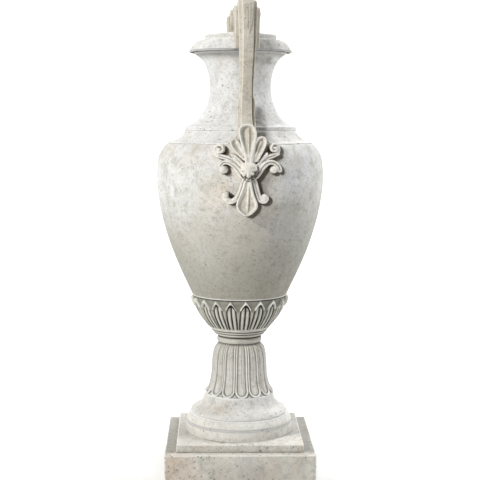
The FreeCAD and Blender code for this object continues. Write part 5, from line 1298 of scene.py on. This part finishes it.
def make_palmette(name, front, seed):
    xs = np.arange(X0, X1 + CELL / 2, CELL)
    zs = np.arange(Z0, Z1 + CELL / 2, CELL)
    X, Z = np.meshgrid(xs, zs)
    parts = foliage(X, Z)
    H = np.full(X.shape, -4.0)
    F = np.full(X.shape, -99.0)
    cav, wear_and_highlight = np.zeros(X.shape), np.zeros(X.shape)
    for p in parts:
        h = np.where(p["d"] > 0, p["h"] * 1.22, -4.0)
        win = h > H
        H[win], cav[win], wear_and_highlight[win] = h[win], p["cav"][win], p["wear_and_highlight"][win]
        F = np.maximum(F, p["d"])
    # painted shade on the ground just outside each element, where it stands higher than its neighbour
    for p in parts:
        edge = (p["d"] < 0.2) & (p["d"] > -2.8) & (p["h"] * 1.22 > H + 1.2)
        cav = np.where(edge, np.maximum(cav, 1.0 * (1 + p["d"] / 2.8)), cav)
    # painted shade on the foliage just under the boss and to its lower right
    boss = parts[-1]["d"]
    under_boss = smooth(-4.6, -0.6, boss) * (boss < 0.3) * smooth(4.0, -6.0, (Z - 630.2) * 0.9 - (X - 1.5) * 0.5)
    cav = np.where(F > 0, np.maximum(cav, 0.95 * under_boss), cav)
    # soften the steps by a small blur
    for _ in range(2):
        K = H.copy()
        K[1:-1, 1:-1] = (H[1:-1, 1:-1] * 4 + H[:-2, 1:-1] + H[2:, 1:-1] + H[1:-1, :-2] + H[1:-1, 2:]) / 8
        H = np.where(F > 0.9, K, H)
    R = np.where(Z < 676, pchip(BODY_Z, BODY_R, np.clip(Z, 366, 676)), 150.0)
    on_body = np.sqrt(np.maximum(R ** 2 - X ** 2, 1.0))
    lean = 157.5 - (Z - 668.0) * 0.42 - X ** 2 / 320.0
    k = smooth(655, 672, Z)
    carrier = on_body * (1 - k) + lean * k
    high = smooth(664, 672, Z)
    mask = np.where(Z > 664, F > -0.2, F > -1.6)
    # keep whole cells, then pull the loose edge onto the outline
    cells = mask[:-1, :-1] & mask[1:, :-1] & mask[:-1, 1:] & mask[1:, 1:]
    use = np.zeros(mask.shape, bool)
    for a in (slice(0, -1), slice(1, None)):
        for b in (slice(0, -1), slice(1, None)):
            use[a, b] |= cells
    whole = np.ones(mask.shape, bool)
    whole[0, :] = whole[-1, :] = whole[:, 0] = whole[:, -1] = False
    whole[1:-1, 1:-1] = cells[:-1, :-1] & cells[1:, :-1] & cells[:-1, 1:] & cells[1:, 1:]
    rim = use & ~whole
    gx = np.gradient(F, CELL, axis=1)
    gz = np.gradient(F, CELL, axis=0)
    g = np.maximum(np.hypot(gx, gz), 0.2)
    shift = np.where(rim & (Z > 664), np.clip(F - 0.15, -0.5, 0.9), 0.0)
    Xs, Zs = X - gx / g * shift, Z - gz / g * shift
    top = np.where((F < 0.0) & (Z > 664), np.maximum(H, 0.5), H)
    top = np.where(rim & (Z > 664), np.minimum(np.maximum(top, 1.0), 6.0), top)
    back = -5.0 - 3.0 * high + np.where(rim & (Z > 664), 3.0, 0.0)
    nx, ny = X / 172.0, np.ones(X.shape)
    ln = np.hypot(nx, ny)
    nx, ny = nx / ln, ny / ln
    out = np.maximum(top, 0.0)
    # painted shadow: a thin dark sheet laid on the body just outside the ornament on its lower right side, where its
    # shadow falls
    shadow_skirt = (F < 0.0) & (F > -1.7) & (Z < 664) & ((-gx * 0.75 + gz * 0.65) > 0.15)
    top = np.where(shadow_skirt, 0.55, top)
    cav = np.where(shadow_skirt, 1.0, cav)
    front_pts = np.stack([-(Xs + nx * top - 0.10 * out), carrier + ny * top, Zs + 0.10 * top * high - 0.04 * out], -1)
    back_pts = np.stack([-(Xs + nx * back - 0.10 * out), carrier + ny * back, Zs - 0.04 * out], -1)
    N = grid_normals(front_pts, False, False)
    N *= np.sign(N[..., 1:2].mean())
    moved, dark = weather(front_pts.reshape(-1, 3), N.reshape(-1, 3), seed, 0.14, 0.10, 0)
    front_pts = moved.reshape(front_pts.shape)
    ids = -np.ones(mask.shape, int)
    ids[use] = np.arange(use.sum())
    n = int(use.sum())
    co = np.vstack([front_pts[use], back_pts[use]])
    r, c = np.nonzero(cells)
    q = np.stack([ids[r, c], ids[r, c + 1], ids[r + 1, c + 1], ids[r + 1, c]], 1)
    faces = [q, q[:, ::-1] + n]
    # side walls
    edges = np.vstack([q[:, [0, 1]], q[:, [1, 2]], q[:, [2, 3]], q[:, [3, 0]]])
    key = np.sort(edges, 1)
    code = key[:, 0].astype(np.int64) * (n + 1) + key[:, 1]
    _, first, counts = np.unique(code, return_index=True, return_counts=True)
    e = edges[first[counts == 1]]
    faces.append(np.stack([e[:, 1], e[:, 0], e[:, 0] + n, e[:, 1] + n], 1))
    zero = np.zeros(n)
    obj = make_mesh(name, place_handle(co, front), np.vstack(faces),
                    {"cav": np.concatenate([np.clip(cav, 0, 1)[use], zero + 0.3]), "wear_and_highlight": np.concatenate([np.clip(wear_and_highlight, 0, 1)[use], zero]),
                     "pit": np.concatenate([dark.reshape(mask.shape)[use], zero])})
    fix_normals(obj)
    return obj


for label, is_front, seed in (("front", True, 61), ("rear", False, 62)):
    leafwork = make_palmette("palmette_%s_stone" % label, is_front, seed)
    finish_piece(leafwork, M_PALM, ["palmette_%s" % label])

def paint_ornament_shadow(obj):
    """Painted shadow on the body to the lower right of both ornaments, where their shadows fall, and a thin ring of
    painted shade round their outline.
    """
    xs = np.arange(X0 - 12, X1 + 12, 0.9)
    zs = np.arange(Z0 - 12, Z1 + 6, 0.9)
    X, Z = np.meshgrid(xs, zs)
    F = np.max([p["d"] for p in foliage(X, Z)], axis=0)

    def depth(u, z):
        fi, fj = (z - zs[0]) / 0.9, (u - xs[0]) / 0.9
        ok = (fi > 0) & (fj > 0) & (fi < len(zs) - 2) & (fj < len(xs) - 2)
        i, j = np.clip(fi, 0, len(zs) - 2).astype(int), np.clip(fj, 0, len(xs) - 2).astype(int)
        a, b = fi - i, fj - j
        v = F[i, j] * (1 - a) * (1 - b) + F[i + 1, j] * a * (1 - b) + F[i, j + 1] * (1 - a) * b + F[i + 1, j + 1] * a * b
        return np.where(ok, v, -99.0)
    mesh = obj.data
    co = np.zeros(len(mesh.vertices) * 3, np.float32)
    mesh.vertices.foreach_get("co", co)
    co = co.reshape(-1, 3).astype(float) / MM
    cav = np.zeros(len(mesh.vertices), np.float32)
    mesh.attributes["cav"].data.foreach_get("value", cav)
    for front in (True, False):
        ang = TURN + (math.pi if front else 0.0)
        c, s = math.cos(ang), math.sin(ang)
        u = -(co[:, 0] * c + co[:, 1] * s)
        out = -co[:, 0] * s + co[:, 1] * c
        near = (out > 60) & (np.abs(u) < 90) & (co[:, 2] > 520)
        near_u, near_z = u[near], co[near, 2]
        # painted shadow offset down and to the right of the ornament, and painted shade hugging its outline
        tight_shadow = smooth(-2.4, 1.2, depth(near_u - 4.4, near_z + 3.6))
        wide_shadow = smooth(-5.0, 3.0, depth(near_u - 9.0, near_z + 6.5))
        lee_shadow = smooth(-2.6, 2.4, depth(near_u - 9.0, near_z + 6.0)) * smooth(-5, 7, near_u) * smooth(706, 680, near_z)
        round_it = smooth(-3.6, 0.0, depth(near_u, near_z))
        cav[near] = np.maximum(cav[near], np.clip(0.98 * tight_shadow + 0.28 * wide_shadow + 0.24 * round_it + 0.78 * lee_shadow, 0, 1))
    mesh.attributes["cav"].data.foreach_set("value", cav)




def paint_strap_shadow(obj):
    """Painted shadow of each strap on the neck and ring beside its foot, and on the collar and upper neck beside its
    top.
    """
    mesh = obj.data
    co = np.zeros(len(mesh.vertices) * 3, np.float32)
    mesh.vertices.foreach_get("co", co)
    co = co.reshape(-1, 3).astype(float) / MM
    cav = np.zeros(len(mesh.vertices), np.float32)
    mesh.attributes["cav"].data.foreach_get("value", cav)
    for front in (True, False):
        ang = TURN + (math.pi if front else 0.0)
        c, s = math.cos(ang), math.sin(ang)
        u = -(co[:, 0] * c + co[:, 1] * s)
        out = -co[:, 0] * s + co[:, 1] * c
        z = co[:, 2]
        cloud = 0.75 + 0.25 * noise(co, 9.0, 88)
        amount = 0.90 * smooth(58, 30, u) * smooth(9, 14, u) * smooth(766, 732, z) * smooth(668, 690, z) * cloud * (out > 40)
        rim = 0.62 * smooth(92, 50, u) * smooth(9, 14, u) * smooth(826, 840, z) * cloud * (out > 20)
        amount = np.maximum(amount, rim)
        cav = np.maximum(cav, amount.astype(np.float32))
    mesh.attributes["cav"].data.foreach_set("value", cav)


paint_ornament_shadow(body)
paint_ornament_shadow(ring)
paint_strap_shadow(ring)
paint_strap_shadow(neck)
paint_strap_shadow(collar)

# ------------------------------------------------------------------ the hidden metal keeps its own shapes
for key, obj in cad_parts.items():
    metal = M_ZINC if key in ("tie_rod", "rod_nuts", "rod_washers", "centring_sleeves") else M_DOWEL
    if any(word in key for word in ("dowel", "pin", "rod", "sleeve")):
        obj.data.materials.clear()
        obj.data.materials.append(metal)

# ------------------------------------------------------------------ floor, light, camera
def floor_material():
    s = Shader("studio_floor")
    cloud = s.noise(1.4, 3.0, 0.5)
    fine = s.noise(160.0, 4.0, 0.6)
    c = s.mix(s.remap(cloud, 0.35, 0.65), (0.86, 0.86, 0.855), (0.89, 0.89, 0.885))
    c = s.mix(s.math("MULTIPLY", s.remap(fine, 0.4, 0.6), 0.25), c, (0.84, 0.84, 0.835))
    s.link(c, s.b.inputs["Base Color"])
    s.b.inputs["Roughness"].default_value = 0.85
    s.link(s.bump(fine, 0.15, 0.0004), s.b.inputs["Normal"])
    return s.m


size = 9.0
sweep = [(-size, 0.0)] + [(x, 0.0) for x in np.linspace(-4, 2.5, 14)] + [(2.5 + 2.0 * math.sin(t), 2.0 - 2.0 * math.cos(t)) for t in np.linspace(0.1, math.pi / 2, 14)] + [(4.5, 8.0)]
verts = [(x, y, z) for y, z in sweep for x in (-size, size)]
mesh = bpy.data.meshes.new("studio_floor")
mesh.from_pydata(verts, [], [(2 * i, 2 * i + 1, 2 * i + 3, 2 * i + 2) for i in range(len(sweep) - 1)])
for poly in mesh.polygons:
    poly.use_smooth = True
floor = bpy.data.objects.new("studio_floor", mesh)
floor.data.materials.append(floor_material())
bpy.context.scene.collection.objects.link(floor)
floor.location = (0, 0, -0.0004)


def lamp(name, where, aim, power, width, height, colour):
    data = bpy.data.lights.new(name, "AREA")
    data.shape = "RECTANGLE"
    data.size, data.size_y = width, height
    data.energy = power
    data.color = colour
    obj = bpy.data.objects.new(name, data)
    bpy.context.scene.collection.objects.link(obj)
    obj.location = where
    obj.rotation_euler = (Vector(aim) - Vector(where)).to_track_quat("-Z", "Y").to_euler()
    return obj


lamp("key", (-2.15, -1.95, 2.10), (0, 0, 0.50), 74.0, 0.20, 0.20, (1.0, 0.99, 0.97))
lamp("fill_left", (-2.6, -0.6, 0.9), (0, 0, 0.45), 2.0, 1.4, 1.8, (0.93, 0.97, 1.0))
lamp("fill_right", (2.4, -2.2, 1.2), (0, 0, 0.45), 1.2, 1.8, 1.8, (1.0, 0.98, 0.95))
lamp("rim_right", (1.45, 0.35, 2.55), (0, 0, 0.60), 27.0, 0.8, 1.0, (0.97, 0.985, 1.0))
lamp("side_right", (2.3, 0.20, 1.35), (0, 0, 0.80), 15.0, 0.8, 1.0, (0.95, 0.975, 1.0))
lamp("top", (0.1, 0.4, 3.0), (0, 0, 0.4), 12.0, 2.0, 2.0, (1, 1, 1))
lamp("backdrop", (0.0, 1.7, 3.2), (0, 4.4, 0.9), 170.0, 4.0, 1.4, (1, 1, 1))
lamp("backdrop_floor", (0.0, 1.5, 2.7), (0, 2.2, 0.0), 34.0, 3.6, 1.2, (1, 1, 1))

world = bpy.data.worlds.new("studio")
bpy.context.scene.world = world
world.use_nodes = True
world.node_tree.nodes["Background"].inputs[0].default_value = (0.95, 0.975, 1.0, 1)
world.node_tree.nodes["Background"].inputs[1].default_value = 0.14

cam_data = bpy.data.cameras.new("camera")
cam = bpy.data.objects.new("camera", cam_data)
bpy.context.scene.collection.objects.link(cam)
cam_data.lens = 85.29
cam_data.sensor_width = 36.0
cam.location = (-0.0553, -2.3518, 0.7224)
cam.rotation_euler = (Matrix.Rotation(math.radians(-1.36), 3, "Z") @ Matrix.Rotation(math.radians(84.0), 3, "X")
                      @ Matrix.Rotation(math.radians(0.26), 3, "Z")).to_euler()
bpy.context.scene.camera = cam
bpy.context.scene.view_settings.view_transform = "Standard"
